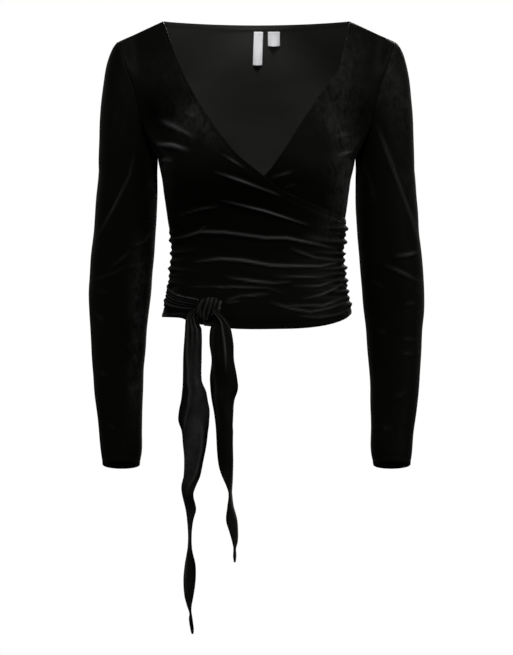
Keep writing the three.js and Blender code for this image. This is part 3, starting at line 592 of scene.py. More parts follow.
# A panel's columns rise from the hem to the neck or the shoulder. At a seam its wall dips beside its
# neighbour's, and at a free edge the cloth is turned in and sewn.
SIDE_COLUMNS, NECK_COLUMNS = 31, 117
ARM_ROWS = 56
HEM_ROWS = np.array([0, 0.6, 1.8, 3.2, 4.6, 5.4, 6.0, 6.6, 7.6])
PAST_HEM = 9.5
EASED_COLUMNS, EASE_WIDE = 8, 3.5
SEAM_DIP, SEAM_WIDE = 0.7, 1.7
SEAM_THICK, SEAM_THICK_WIDE = 0.5, 5
HEM_HIGH, HEM_FADE = 0.2, (5.4, 7.4)
HEM_THICK, HEM_THICK_FADE = 0.9, (5.9, 6.9)
STITCH_DENT, STITCH_DENT_WIDE = 0.28, 1.2
CALM_AT_HEM, CALM_WIDE = 0.4, 12
ARMHOLE_FAN, ARMHOLE_FAN_SHARE = 0.6, (-0.3, 0.3)
FAR, HAIR = 1e3, 1e-6


def shares():
    """Where each column stands, as a share of the form's half breadth, closer together at the sides."""
    neck_turn = math.asin(NECK_SHARE)
    turns = np.concatenate([
        np.linspace(-math.pi / 2, -neck_turn, SIDE_COLUMNS)[:-1],
        np.linspace(-neck_turn, neck_turn, NECK_COLUMNS),
        np.linspace(neck_turn, math.pi / 2, SIDE_COLUMNS)[1:],
    ])
    return np.sin(turns)


COLUMNS = shares()
LAST = COLUMNS.size - 1


def panel_net(side, low_rows, side_rows, bend, top):
    """The points of a panel, from the hem to bend and on to the top of each column."""
    hem = hem_level(COLUMNS)
    tall = WRAP_END_Z - HEM_Z
    rows = [mix(hem, bend, v) for v in HEM_ROWS / tall]
    rows += [mix(hem, bend, v) for v in np.linspace(PAST_HEM / tall, 1, low_rows)]
    levels = list(np.linspace(WRAP_END_Z, UNDERARM_Z, side_rows + 1)[1:])
    climb = np.arange(1, ARM_ROWS + 1) / ARM_ROWS
    climb = mix(climb, (1 - np.cos(math.pi * climb)) / 2, 0.75)
    levels += list(mix(UNDERARM_Z, SHOULDER_Z, climb))
    window = hump(np.arange(-EASED_COLUMNS, EASED_COLUMNS + 1), EASE_WIDE)
    eased = np.convolve(np.pad(top, EASED_COLUMNS, mode="edge"), window / window.sum(), mode="valid")
    for level in levels:
        rise = (level - WRAP_END_Z) / (SHOULDER_Z - WRAP_END_Z)
        rows.append(mix(bend, eased, rise) + (top - eased) * rise**4)
    z = np.array(rows)
    return torso_point(COLUMNS * spread(z), z, side), HEM_ROWS.size + low_rows + side_rows - 1


def armhole_turn(normal, point):
    """Turns the walls at the armhole to face away from its middle, so that panel and sleeve meet flat."""
    up = (point[..., 2] - ARM_MIDDLE) * ARMHOLE_FAN
    radial = unit(np.stack([np.zeros_like(up), point[..., 1] - SEAM_Y / 2, up], -1))
    share = smooth((point[..., 2] - ARM_MIDDLE) / ARM_HALF, *ARMHOLE_FAN_SHARE)[..., None]
    return unit(mix(unit(normal), radial, share))


def seam_dip(distance):
    return -SEAM_DIP * hump(distance, SEAM_WIDE)


def seam_thick(distance):
    return SEAM_THICK * hump(distance, SEAM_THICK_WIDE)


def hem_raise(distance):
    """The turned cloth lifts the hem a little, and the thread draws it in again."""
    dent = STITCH_DENT * hump(distance - STITCH_LINE, STITCH_DENT_WIDE)
    return HEM_HIGH * (1 - smooth(distance, *HEM_FADE)) - dent


def hem_thick(distance):
    return HEM_THICK * (1 - smooth(distance, *HEM_THICK_FADE))


def panel(name, side, net, underarm, open_columns, armholes, relief, painted_sheen):
    """Finishes a panel's edges and makes it. armholes are the columns that end in an armhole."""
    normal = form_normal(net, side)
    for column in (0, LAST):
        if column in armholes:
            above = normal[underarm + 1:, column]
            normal[underarm + 1:, column] = armhole_turn(above, net[underarm + 1:, column])
            normal[:underarm + 1, column, 1] = 0
        else:
            normal[:, column, 1] = 0
    normal[-1, ~open_columns, 1] = 0
    normal = unit(normal)
    reach, rise = lengths(net, 1), lengths(net, 0)
    slope = np.gradient(net[-1, :, 2], net[-1, :, 0])
    from_top = (rise[-1] - rise) / np.clip(np.sqrt(1 + slope**2), 1, 3)
    to_free = np.where(open_columns, from_top, FAR)
    edge = np.minimum(rise, to_free)
    to_side = np.minimum(reach, reach[:, -1:] - reach)
    to_seam = np.minimum(to_side, np.where(open_columns, FAR, from_top))
    height, painted_highlight = relief(net)
    calm = mix(CALM_AT_HEM, 1, smooth(edge, 0, CALM_WIDE))
    lift = height * calm + hem_raise(edge) + seam_dip(to_seam)
    depth = CLOTH + hem_thick(edge) + seam_thick(to_seam)
    # the marks carry the painted highlight of the creases and gathers, and the patches of painted sheen
    marks = {
        "edge": edge,
        "run": np.where(rise < to_free, reach, reach + rise),
        "painted_highlight": painted_highlight,
        "painted_sheen": patches(painted_sheen, net[..., 0], net[..., 2]),
    }
    return shell(name, net, normal, lift, depth, [VELVET, BACKING], marks)


# The tie crosses the panels, which lie smooth under it and under the knot.
# turn about the middle in degrees, level, half its height, thickness, how far off the body
TIE_WRAP = [
    (2, -338, 24, 2.4, 0), (40, -342, 23, 2.4, 0), (90, -348, 21, 2.6, 0), (140, -358, 18, 2.8, 0),
    (180, -371, 15, 3.2, 0), (206, -381, 12, 3.6, 1.5), (235.35, -390, 9, 7, 15),
]
STRAP_FADE = 7
KNOT_X, KNOT_Z, KNOT_WIDE, KNOT_TALL = -65.5, -396.0, 34.0, 40.0
KNOT_REACH, KNOT_FADE = 0.75, (0.8, 1.3)


def under_strap(net):
    """1 under the tie, and 0 from a little way outside it."""
    turn = np.degrees(np.arctan2(net[..., 1], net[..., 0]))
    turn = np.where(turn < -90, turn + 360, turn)
    away = np.abs(net[..., 2] - along(TIE_WRAP, 1, turn)) - along(TIE_WRAP, 2, turn)
    inside = (turn >= 0) & (turn <= TIE_WRAP[-1][0])
    return np.where(inside, 1 - smooth(away, 0, STRAP_FADE), 0)


def raise_outer(x):
    """How far the lap lifts the upper front: nothing at the wearer's right side, all of it at the left."""
    return LAP / 2 * np.clip(1 + x / LAP_REACH, 0, 2)


# level, where the upper front ends, where the lower front ends
WRAP_EDGE = [
    (-266, 126.4, -126.4), (-251, 86.7, -86), (-239, 57.3, -57), (-227, 31, -28), (-215, 17.2, 4),
    (-181.7, -24.2, 32.5), (-146.5, -53.2, 54.5), (-126.4, -66.5, 67.2), (-95.9, -85.6, 87.2),
    (-52.2, -107, 116.5), (18, -133, 133),
]
OUTER_SLACK, WAIST_SLACK, UNDER_SLACK = 0.35, 0.55, 0.4
WAIST_FROM_TO, UNDER_SHOWS_FROM_TO = (-235, -275), (-236, -215)
HALVINGS = 40
# patches of painted sheen: amount, middle across, middle level, half breadth, half height, lean in degrees
OUTER_PAINTED_SHEEN = [
    (0.19, 106, -276, 22, 26, 0), (0.28, -98, -128, 32, 22, -30), (0.26, -78, -128, 36, 11, -60),
    (0.34, -127, -204, 8, 34, 5), (0.06, -100, -60, 60, 30, 0), (0.22, -114, -399, 20, 5, 0),
]
UNDER_PAINTED_SHEEN = [
    (0.19, 98, -72, 34, 36, 30), (0.24, 124, -112, 24, 30, 0), (0.46, 126, -216, 20, 50, 0),
    (0.12, 126, -30, 30, 40, 0), (0.03, 70, -130, 22, 30, 20), (0.24, 112, -141, 34, 12, -45),
]


def edge_level(column, hand):
    """The level at which each column of a front meets its free edge, or else the shoulder seam."""
    low, high = np.full(COLUMNS.shape, WRAP_END_Z), np.full(COLUMNS.shape, NECK_Z)
    for _ in range(HALVINGS):
        z = (low + high) / 2
        inside = hand * (COLUMNS * spread(z) - along(WRAP_EDGE, column, z)) > 0
        low, high = np.where(inside, z, low), np.where(inside, high, z)
    shoulder = hand * COLUMNS >= NECK_SHARE - HAIR
    return np.where(shoulder, shoulder_line(COLUMNS * SHOULDER_X), (low + high) / 2)


def front(name, column, hand, relief, painted_sheen, low_rows, side_rows):
    """One front. hand is -1 for the wearer's right and 1 for the left, column its edge in WRAP_EDGE."""
    bend = WRAP_END_Z - WRAP_END_DROP * ((1 - hand * COLUMNS) / 2) ** 3
    net, underarm = panel_net(-1, low_rows, side_rows, bend, edge_level(column, hand))
    open_columns = hand * COLUMNS < NECK_SHARE - HAIR
    return panel(name, -1, net, underarm, open_columns, [0 if hand < 0 else LAST], relief, painted_sheen)


def outer_relief(net):
    x, z = net[..., 0], net[..., 2]
    height, edge = creases(OUTER_CREASES, x, z)
    pulled, gather_highlight = gathered(x, z, spread(z))
    loose = slack(x, z) * mix(OUTER_SLACK, WAIST_SLACK, smooth(z, *WAIST_FROM_TO))
    bare = 1 - under_strap(net)
    wide, tall = KNOT_WIDE * KNOT_REACH, KNOT_TALL * KNOT_REACH
    clear = smooth(np.hypot((x - KNOT_X) / wide, (z - KNOT_Z) / tall), *KNOT_FADE)
    height = (height * clear + pulled + loose) * bare
    return height + raise_outer(x), np.maximum(edge, gather_highlight) * bare * clear


def under_relief(net):
    x, z = net[..., 0], net[..., 2]
    height, edge = creases(UNDER_CREASES, x, z)
    shown = smooth(z, *UNDER_SHOWS_FROM_TO)
    return (height + slack(x, z, 2.0) * UNDER_SLACK) * shown + raise_outer(x) - LAP, edge * shown


front_outer = front("front_outer", 1, -1, outer_relief, OUTER_PAINTED_SHEEN, 64, 34)
front_under = front("front_under", 2, 1, under_relief, UNDER_PAINTED_SHEEN, 30, 24)

# Back
# One panel of the same velvet, its pile outwards, cut straight across the wide neck and hemmed there. It
# is sewn to the fronts at shoulders and sides, gathered at the sides as the upper front is, and crossed
# by the tie at its waist.
BACK_CREASES = [
    (1.5, 5.0, [(138, -160), (112, -170), (86, -184)]), (1.2, 5.0, [(136, -184), (112, -196), (92, -212)]),
    (1.5, 5.0, [(-138, -162), (-110, -172), (-84, -186)]), (1.1, 5.0, [(-134, -188), (-108, -202)]),
    (1.7, 4.0, [(122, -290), (70, -296), (10, -289), (-42, -288)]),
    (1.5, 4.0, [(-122, -300), (-72, -294), (-20, -300)]), (1.2, 4.0, [(120, -308), (80, -313), (42, -311)]),
    (1.1, 4.0, [(-118, -316), (-84, -322), (-46, -318)]), (1.3, 4.4, [(118, -272), (64, -266), (20, -258)]),
    (1.0, 4.4, [(-116, -274), (-66, -262), (-24, -256)]), (1.2, 4.0, [(124, -384), (84, -390), (30, -386)]),
    (1.1, 4.0, [(-60, -393), (-16, -390), (34, -396)]), (1.0, 6.0, [(60, -222), (20, -236), (-26, -234)]),
    (0.9, 6.0, [(-118, -66), (-104, -98), (-98, -134)]), (0.9, 6.0, [(120, -64), (106, -96), (100, -130)]),
]
BACK_SLACK, BACK_SLACK_FROM_TO = 0.7, (-30, -60)
# patches of painted sheen on the back: amount, middle across, middle level, half breadth, half height, lean
# in degrees
BACK_PAINTED_SHEEN = [
    (0.18, 96, -70, 36, 40, 20), (0.15, -92, -78, 36, 40, -20), (0.09, 0, -170, 60, 40, 0),
    (0.16, 100, -300, 30, 40, 0), (0.14, -100, -290, 30, 40, 0),
]


def back_relief(net):
    x, z = net[..., 0], net[..., 2]
    height, edge = creases(BACK_CREASES, x, z)
    pulled, gather_highlight = gathered(x, z, spread(z))
    bare = 1 - under_strap(net)
    loose = slack(x, z, 4.0) * BACK_SLACK * smooth(z, *BACK_SLACK_FROM_TO)
    height = height + pulled + loose
    return height * bare, np.maximum(edge, gather_highlight) * bare


def back_panel():
    top = np.minimum(NECK_Z, shoulder_line(COLUMNS * SHOULDER_X))
    net, underarm = panel_net(1, 58, 30, np.full(COLUMNS.size, WRAP_END_Z), top)
    open_columns = np.abs(COLUMNS) < NECK_SHARE - HAIR
    return panel("back", 1, net, underarm, open_columns, [0, LAST], back_relief, BACK_PAINTED_SHEEN)


back = back_panel()

# Sleeves
# Long fitted sleeves of the velvet, each one piece closed by a seam under the arm and sewn into the
# armhole. They bend a little forward at the elbow, and the cuff is turned in once and stitched.
CUFF_Z = -611.0
SLEEVE_AROUND, CAP_RINGS, SLEEVE_RINGS = 104, 34, 150
TUCK_IN, TUCK_UNDER = 2.2, 1.6
SLEEVE_SIDE_FADE, SLEEVE_TOP_FADE, SLEEVE_CUFF_FADE = (4, 24), 10, 14
# the last value is the strength of the painted highlight on the sleeve creases
SLEEVE_SLACK, SLEEVE_SEAM, SLEEVE_PAINTED_HIGHLIGHT = 0.6, 0.7, 0.55
# the last value is how much of the painted sheen shows behind the arm
SLEEVE_TOP_SLOPE, TILT_REACH, PAINTED_SHEEN_BEHIND = 0.75, 8, 0.6
# level, middle, half its width, half its depth, how far forward
SLEEVE = [
    (-195, 182.3, 41.7, 46, 0), (-223, 183.6, 43.2, 47.5, 0), (-251, 185, 43.9, 48, 0),
    (-280, 186.7, 44.2, 48, 0), (-308, 189.4, 44.6, 47.5, 0), (-336, 191.7, 44.7, 47, 0),
    (-365, 193.8, 44.4, 46, 0), (-393, 195, 42.7, 44, 1), (-422, 195.4, 40.2, 42, 4),
    (-450, 195.5, 38.3, 40, 7), (-478, 195.6, 36.3, 38, 11), (-506, 195.1, 34.6, 36.5, 16),
    (-535, 193.5, 32.5, 34, 21.5), (-563, 191.8, 30.6, 32, 27), (-591, 190.2, 29, 30, 33),
    (-611, 190.4, 26, 28, 37.5), (-625, 191, 24, 27, 41),
]
CAP_Z = SLEEVE[0][0]
# -1 is the wearer's right sleeve and 1 the left
SLEEVE_CREASES = {
    -1: [
        (1.8, 3.4, [(172, -174), (178, -205), (201, -251), (227, -297)]),
        (1.4, 3.2, [(148, -283), (158, -297), (173, -304)]),
        (0.9, 4.0, [(174, -309), (190, -322), (208, -337)]),
        (0.7, 5.0, [(152, -322), (166, -332), (180, -332)]), (0.9, 4.0, [(150, -352), (168, -358)]),
        (0.9, 4.0, [(232, -352), (208, -345), (184, -334)]), (0.8, 4.0, [(228, -366), (208, -370)]),
        (0.9, 4.0, [(160, -398), (178, -404)]), (0.9, 4.0, [(162, -436), (178, -440)]),
        (0.9, 5.0, [(228, -400), (214, -410)]), (0.8, 5.0, [(224, -480), (208, -488)]),
        (0.8, 5.0, [(164, -500), (180, -508)]), (0.7, 5.0, [(214, -552), (196, -560)]),
    ],
    1: [
        (2.2, 4.0, [(168, -132), (177, -155), (198, -211), (218, -263), (229, -300)]),
        (2.7, 4.2, [(194, -318), (212, -316), (230, -311)]),
        (2.3, 3.6, [(178, -330), (200, -339), (230, -354)]),
        (0.8, 5.0, [(150, -188), (160, -214), (166, -246)]), (1.0, 4.0, [(206, -386), (226, -384)]),
        (1.0, 4.0, [(204, -434), (224, -436)]), (1.0, 4.0, [(202, -454), (222, -456)]),
        (0.9, 4.0, [(160, -352), (178, -362)]), (0.8, 5.0, [(166, -420), (184, -428)]),
        (0.8, 5.0, [(212, -508), (194, -516)]), (0.7, 5.0, [(172, -556), (190, -562)]),
    ],
}
SLEEVE_BACK_CREASES = [
    (1.6, 5.0, [(168, -150), (196, -200), (222, -250)]), (1.3, 4.4, [(226, -330), (200, -342), (166, -338)]),
    (1.2, 4.4, [(228, -356), (202, -364), (172, -372)]), (0.9, 5.0, [(222, -420), (196, -428)]),
    (0.9, 5.0, [(170, -470), (196, -476)]), (0.8, 5.0, [(216, -530), (194, -538)]),
]
# patches of painted sheen on each sleeve: amount, middle across, middle level, half breadth, half height,
# lean in degrees
SLEEVE_PAINTED_SHEEN = {
    -1: [
        (0.34, 168, -425, 10, 100, 2), (0.10, 160, -345, 14, 30, 0), (0.04, 196, -120, 30, 60, 20),
        (0.06, 226, -430, 8, 100, 0), (0.18, 146, -230, 7, 80, 0),
    ],
    1: [
        (0.16, 212, -100, 30, 80, 20), (0.14, 176, -60, 20, 40, 0), (0.10, 224, -230, 12, 60, 20),
        (0.20, 233, -420, 6, 120, 0), (0.04, 160, -300, 16, 60, 0), (0.02, 200, -560, 16, 40, 0),
    ],
}


def outward(net, ring, middle):
    """The direction straight out of the cloth at each point of a net, away from its middle."""
    if ring:
        across = np.roll(net, -1, axis=1) - np.roll(net, 1, axis=1)
    else:
        across = np.gradient(net, axis=1)
    normal = unit(np.cross(across, np.gradient(net, axis=0)))
    return normal * np.sign((normal * (net - middle)).sum())


def arm_ring(hand, turn, level):
    """The sleeve's section at a level, tilted as the arm bends forward."""
    forward = along(SLEEVE, 4, level)
    further = along(SLEEVE, 4, level - TILT_REACH) - along(SLEEVE, 4, level + TILT_REACH)
    tilt = math.atan(further / (2 * TILT_REACH))
    offset = -along(SLEEVE, 3, level) * np.sin(turn)
    x = hand * (along(SLEEVE, 1, level) + along(SLEEVE, 2, level) * np.cos(turn))
    return np.stack([x, -forward + offset * math.cos(tilt), level - offset * math.sin(tilt)], -1)


def sleeve_net(hand, turn):
    """Rings from under the armhole seam, over the cap and down the arm to the cuff."""
    z = ARM_MIDDLE + ARM_HALF * np.cos(turn)
    seat = torso_point(hand * spread(z), z, np.where(turn <= math.pi, -1, 1))
    low = arm_ring(hand, turn, CAP_Z)
    at_top = seat[:, 2] - SLEEVE_TOP_SLOPE * np.abs(seat[:, 0] - low[:, 0])
    bend_z = mix(at_top, (seat[:, 2] + low[:, 2]) / 2, (1 - np.cos(turn)) / 2)
    bend = np.stack([low[:, 0], (seat[:, 1] + low[:, 1]) / 2, bend_z], -1)
    tucked = seat - np.array([hand * TUCK_IN, 0, 0]) + unit(seat.mean(axis=0) - seat) * TUCK_UNDER
    rings = [tucked]
    for t in np.linspace(0, 1, CAP_RINGS + 1)[:-1]:
        rings.append(seat * (1 - t) ** 2 + bend * 2 * t * (1 - t) + low * t * t)
    rings += [arm_ring(hand, turn, z) for z in np.linspace(CAP_Z, CUFF_Z + PAST_HEM, SLEEVE_RINGS)]
    rings += [arm_ring(hand, turn, z) for z in CUFF_Z + HEM_ROWS[::-1]]
    return np.array(rings)


def sleeve(name, hand):
    """One sleeve. hand is -1 for the wearer's right and 1 for the left."""
    turn = 2 * math.pi * np.arange(SLEEVE_AROUND) / SLEEVE_AROUND
    net = sleeve_net(hand, turn)
    centre = net.mean(axis=1, keepdims=True)
    normal = outward(net, True, centre)
    normal[:2] = armhole_turn(normal[2], net[1])
    fall = lengths(net, 0)
    to_cuff = fall[-1] - fall
    girth = np.linalg.norm(net - centre, axis=-1)
    from_seam = np.abs(np.angle(np.exp(1j * (turn - math.pi))))[None] * girth
    x, y, z = hand * net[..., 0], net[..., 1], net[..., 2]
    facing = smooth(centre[..., 1] - y, *SLEEVE_SIDE_FADE)
    behind = smooth(y - centre[..., 1], *SLEEVE_SIDE_FADE)
    front_height, front_highlight = creases(SLEEVE_CREASES[hand], x, z)
    back_height, back_highlight = creases(SLEEVE_BACK_CREASES, x, z)
    eased = smooth(fall, 0, SLEEVE_TOP_FADE)
    height = front_height * facing + back_height * behind
    height += slack(x * 1.6 + 40 * hand, z * 0.8, hand * 1.5) * SLEEVE_SLACK
    lift = height * eased * smooth(to_cuff, 0, SLEEVE_CUFF_FADE) + hem_raise(to_cuff)
    lift += seam_dip(fall) + SLEEVE_SEAM * seam_dip(from_seam)
    depth = CLOTH + hem_thick(to_cuff) + seam_thick(fall)
    # the marks carry the painted highlight of the creases and the patches of painted sheen
    marks = {
        "edge": to_cuff,
        "run": turn[None] * girth,
        "painted_highlight": SLEEVE_PAINTED_HIGHLIGHT * (front_highlight * facing + back_highlight * behind) * eased,
        "painted_sheen": patches(SLEEVE_PAINTED_SHEEN[hand], x, z) * mix(PAINTED_SHEEN_BEHIND, 1.0, facing),
    }
    return shell(name, net, normal, lift, depth, [VELVET, BACKING], marks, ring=True)


for name, hand in (("sleeve_right", -1), ("sleeve_left", 1)):
    arm = sleeve(name, hand)

# Tie round the body
# A strip of the same velvet, folded double and sewn. It is held in the wearer's left side seam, goes round
# the back and gathers into a few lengthwise folds as it nears the knot.
TIE_STEPS, TIE_ACROSS = 190, 41
TIE_CLEAR, TIE_LEAST = 1.0, 0.4
TIE_GATHERS_FROM_TO = (120, 225)
# the last value is an even share of painted sheen over the whole tie
TIE_WANDER, TIE_CREST, TIE_RIPPLE, TIE_PAINTED_SHEEN = 0.10, 1.8, 0.35, 0.10
TURN_STEP, LEVEL_STEP = 0.03, 3
NO_HEM = 50.0
# place across, half its breadth, height
TIE_FOLDS = [
    (0.80, 0.13, 1.0), (0.46, 0.09, 0.65), (0.14, 0.08, 0.85), (-0.2, 0.09, 0.6), (-0.62, 0.13, 0.8),
]


def tube(name, rings, painted_light, painted_sheen, flat=False):
    """A closed piece through rings of points, with both ends filled, and sewn flat where it is a strip."""
    count, around = rings.shape[:2]
    index = np.arange(count * around).reshape(count, around)
    right = np.roll(index, -1, axis=1)
    quads = np.stack([index[:-1], right[:-1], right[1:], index[1:]], axis=-1).reshape(-1, 4)
    faces = quads.tolist()
    points = rings.reshape(-1, 3)
    marks = {"painted_highlight": painted_light, "painted_sheen": painted_sheen, "edge": np.full(painted_light.shape, NO_HEM), "run": 0 * painted_light}
    marks = {mark: values.reshape(-1) for mark, values in marks.items()}
    if flat:
        for i in range(around // 2 - 1):
            far = around - 1 - i
            faces.append([index[0, i + 1], index[0, i], index[0, far], index[0, far - 1]])
            faces.append([index[-1, i], index[-1, i + 1], index[-1, far - 1], index[-1, far]])
    else:
        start, end = count * around, count * around + 1
        points = np.concatenate([points, rings[0].mean(0)[None], rings[-1].mean(0)[None]])
        faces += [[right[0, i], index[0, i], start] for i in range(around)]
        faces += [[index[-1, i], right[-1, i], end] for i in range(around)]
        for mark, values in marks.items():
            ends = [values[:around].mean(), values[-around:].mean()]
            marks[mark] = np.concatenate([values, ends])
    return finish_mesh(name, points, faces, slice(0), [VELVET], marks)


def girth_point(turn, z):
    return torso_point(spread(z) * np.cos(turn), z, np.where(np.sin(turn) < 0, -1, 1))


def tie_wrap():
    degrees = np.linspace(TIE_WRAP[0][0], TIE_WRAP[-1][0], TIE_STEPS)[:, None]
    v = np.linspace(1, -1, TIE_ACROSS)
    turn = np.radians(degrees)
    level, half, thick, off = (along(TIE_WRAP, column, degrees) for column in (1, 2, 3, 4))
    z = level + v * half
    point = girth_point(turn, z)
    across = girth_point(turn + TURN_STEP, z) - girth_point(turn - TURN_STEP, z)
    up = girth_point(turn + 0 * z, z + LEVEL_STEP) - girth_point(turn + 0 * z, z - LEVEL_STEP)
    normal = unit(np.cross(across, up))
    lift = off + TIE_CLEAR + np.where(degrees > 180, raise_outer(point[..., 0]), 0)
    near = smooth(degrees, *TIE_GATHERS_FROM_TO)
    wander = v + TIE_WANDER * np.sin(turn * 3.1 + 1.0) * (1 - v**2)
    fold, crest = np.zeros(wander.shape), np.zeros(wander.shape)
    for place, wide, high in TIE_FOLDS:
        fold = np.maximum(fold, high * hump(wander - place, wide))
        crest = np.maximum(crest, high * hump(wander - place, wide / TIE_CREST))
    out = thick * mix(0.45 + 0.5 * fold, 0.2 + 0.8 * fold, near) * np.sqrt(1 - 0.75 * v**6)
    out += TIE_RIPPLE * np.sin(turn * 17 + v * 4) * (1 - near)
    outer = point + normal * (lift + np.maximum(out, TIE_LEAST))[..., None]
    inner = (point + normal * lift[..., None])[:, ::-1]
    rings = np.concatenate([outer, inner], axis=1)
    # painted highlight along the fold crests, stronger near the knot
    painted_light = mix(0.2, 0.5, near) * crest * (0.8 + 0.2 * np.sin(turn * 23 + v * 3))
    painted_light = np.concatenate([painted_light, 0 * painted_light], axis=1)
    return tube("tie_wrap", rings, painted_light, np.full(painted_light.shape, TIE_PAINTED_SHEEN), flat=True)


band = tie_wrap()

# Knot
# The two ties turned once about each other, with nothing in the knot but velvet: a tight roll with
# slanting folds and one bold fold on the side towards the middle, pulled flat against the front.
KNOT_DEEP, KNOT_LEAN, KNOT_SKIN = 27.0, 1.8, 1.5
KNOT_AROUND, KNOT_TIERS = 120, 72
# the second and third values are the strength and breadth of the painted highlights on the knot's folds
KNOT_SUNK, KNOT_PAINTED_HIGHLIGHT, KNOT_EDGE, KNOT_CLEAR = -0.8, 0.7, 0.5, 0.5
# how round the roll is, from 0 for square to 1: from end to end, across, in depth and along
ROUND_ENDS, ROUND_ACROSS, ROUND_DEEP, ROUND_ALONG = 0.55, 0.75, 0.85, 0.7
# height, half its breadth, how strong its painted highlight is, the line it follows as x and z
KNOT_FOLDS = [
    (1.5, 2.0, 0.25, [(-79, -380), (-82, -392), (-80, -404)]),
    (1.9, 2.2, 0.35, [(-72, -373), (-74.5, -380), (-78, -393), (-76, -405)]),
    (2.3, 2.2, 0.45, [(-64.5, -372), (-67, -380), (-72.5, -398), (-72, -412)]),
    (2.5, 2.3, 0.45, [(-59, -372), (-61.5, -380), (-66.5, -400), (-68, -407)]),
    (2.2, 2.2, 0.40, [(-54, -373), (-55.5, -380), (-61, -402)]),
    (3.6, 2.0, 0.80, [(-48, -372), (-50, -380), (-53.5, -394), (-56, -408), (-62, -414), (-70, -413)]),
    (-1.8, 1.5, 0, [(-52, -374), (-54.5, -384), (-57.5, -398)]),
    (-2.6, 3.6, 0, [(-64, -406), (-59, -409)]),
]


def body_front_y(x, z):
    return torso_point(x, z, -1)[..., 1] - raise_outer(x)


def boxed(value, power):
    """Keeps the sign and raises the size, which turns a round section into a boxy one."""
    return np.sign(value) * np.abs(value) ** power


def tie_knot():
    tilt = math.pi * (np.arange(1, KNOT_TIERS) / KNOT_TIERS)[:, None]
    turn = 2 * math.pi * np.arange(KNOT_AROUND)[None] / KNOT_AROUND
    px = boxed(np.sin(tilt), ROUND_ENDS) * boxed(np.cos(turn), ROUND_ACROSS)
    py = boxed(np.sin(tilt), ROUND_ENDS) * boxed(np.sin(turn), ROUND_DEEP)
    pz = boxed(np.cos(tilt), ROUND_ALONG) + 0 * turn
    x = KNOT_X + px * (KNOT_WIDE / 2 - KNOT_SKIN) + pz * KNOT_LEAN
    z = KNOT_Z + pz * (KNOT_TALL / 2 - KNOT_SKIN)
    out = unit(np.stack([px, py * 1.3, pz * 0.8], -1))
    height, painted_light = np.full(px.shape, KNOT_SUNK), np.zeros(px.shape)
    for high, half, painted_shine, line in KNOT_FOLDS:
        gap, _ = nearest(line, x, z)
        height += high * hump(gap, half)
        painted_light = np.maximum(painted_light, KNOT_PAINTED_HIGHLIGHT * painted_shine * hump(gap, KNOT_EDGE * half))
    facing = smooth(-py, -0.3, 0.3)
    seat = body_front_y(np.array(KNOT_X), np.array(KNOT_Z))
    y = seat - KNOT_DEEP / 2 + py * (KNOT_DEEP / 2 - KNOT_SKIN)
    rings = np.stack([x, y, z], -1) + out * (height * facing)[..., None]
    rings[..., 1] = np.minimum(rings[..., 1], body_front_y(rings[..., 0], rings[..., 2]) - KNOT_CLEAR)
    return tube("tie_knot", rings, painted_light * facing, np.zeros(px.shape))


knot = tie_knot()

# Hanging ends
# The two free ends of the tie: strips of velvet folded double and sewn, held by the knot alone. They curl
# along their length and turn on edge as they fall, and each is cut to a point at the bottom.
TAIL_CLOTH = 2.0
TAIL_STEPS, TAIL_ACROSS = 230, 43
# the second value is the strength of the painted sheen on the hanging ends, the last the breadth of the
# painted highlight on their folds
LEAST_CURL, TAIL_PAINTED_SHEEN_STRENGTH, TAIL_RIPPLE, TAIL_EDGE = 6, 0.4, 0.35, 0.6
RIM_THICK, RIM_WIDE = 0.55, 2
# how far above and below its first point a fold comes in, and how far to each side of its last it goes
FOLD_ABOVE, FOLD_BELOW, FOLD_OUT = 10, 4, 18
# a row near the top, where the strip still faces the front
FACING_ROW = 20
TAIL_LONG_Y, TAIL_SHORT_Y = -108, -119
# level, middle, breadth of the strip, how far it is turned, how far it is curled
TAIL_LONG = [
    (-392, -81.5, 14, 30, 120), (-401, -88.6, 18, 10, 150), (-413, -88.6, 27, 10, 185),
    (-422, -87, 38, 8, 206), (-458, -88.5, 44, 0, 212), (-491, -88.9, 44, 0, 206),
    (-507, -86.3, 44, 0, 156), (-521, -86.2, 44, -4, 120), (-535, -86.5, 44, -10, 52),
    (-546, -87.1, 44, -12, 42), (-560, -86.7, 44, -18, 108), (-582, -87.9, 44, -26, 136),
    (-604, -89.4, 42, -35, 176), (-623, -91.8, 40, -45, 178), (-637, -95.7, 40, -63, 170),
    (-648, -96.3, 38, -73, 130), (-668, -92.5, 36, -68, 90), (-684, -92, 32, -78, 50),
    (-703, -91.9, 30, -84, 30), (-723, -92.5, 32, -80, 30), (-745, -92.8, 34, -64, 50),
    (-767, -93.8, 34, -60, 50), (-789, -94.5, 32, -67, 45), (-803, -93.2, 24, -76, 30),
    (-813, -91.1, 14, -82, 20), (-822, -90.5, 10, -62, 20), (-835, -88.7, 8, -59, 20),
    (-841, -88.2, 4, -59, 15),
]
TAIL_SHORT = [
    (-390, -60, 8, -40, 100), (-397, -57, 13, -25, 115), (-404, -53, 20, -12, 130),
    (-412, -50, 29, -4, 140), (-424, -49.4, 38, 0, 148), (-441, -48.3, 44, 0, 158),
    (-463, -46.5, 44, 0, 172), (-488, -45.5, 44, 0, 122), (-502, -44.4, 44, 2, 118),
    (-518, -45.4, 44, 6, 168), (-540, -44, 43, 12, 204), (-568, -43.7, 42, 20, 240),
    (-595, -41.6, 40, 50, 225), (-620, -39.9, 36, 76, 145), (-639, -36.8, 30, 84, 60),
    (-648, -35.7, 26, 82, 30), (-664, -35.2, 28, 74, 40), (-683, -33.3, 30, 61, 50),
    (-700, -30.4, 28, 67, 45), (-714, -29.4, 20, 71, 30), (-723, -30.3, 10, 74, 15),
    (-733, -30.3, 8, 63, 15), (-741, -30.3, 4, 63, 15),
]
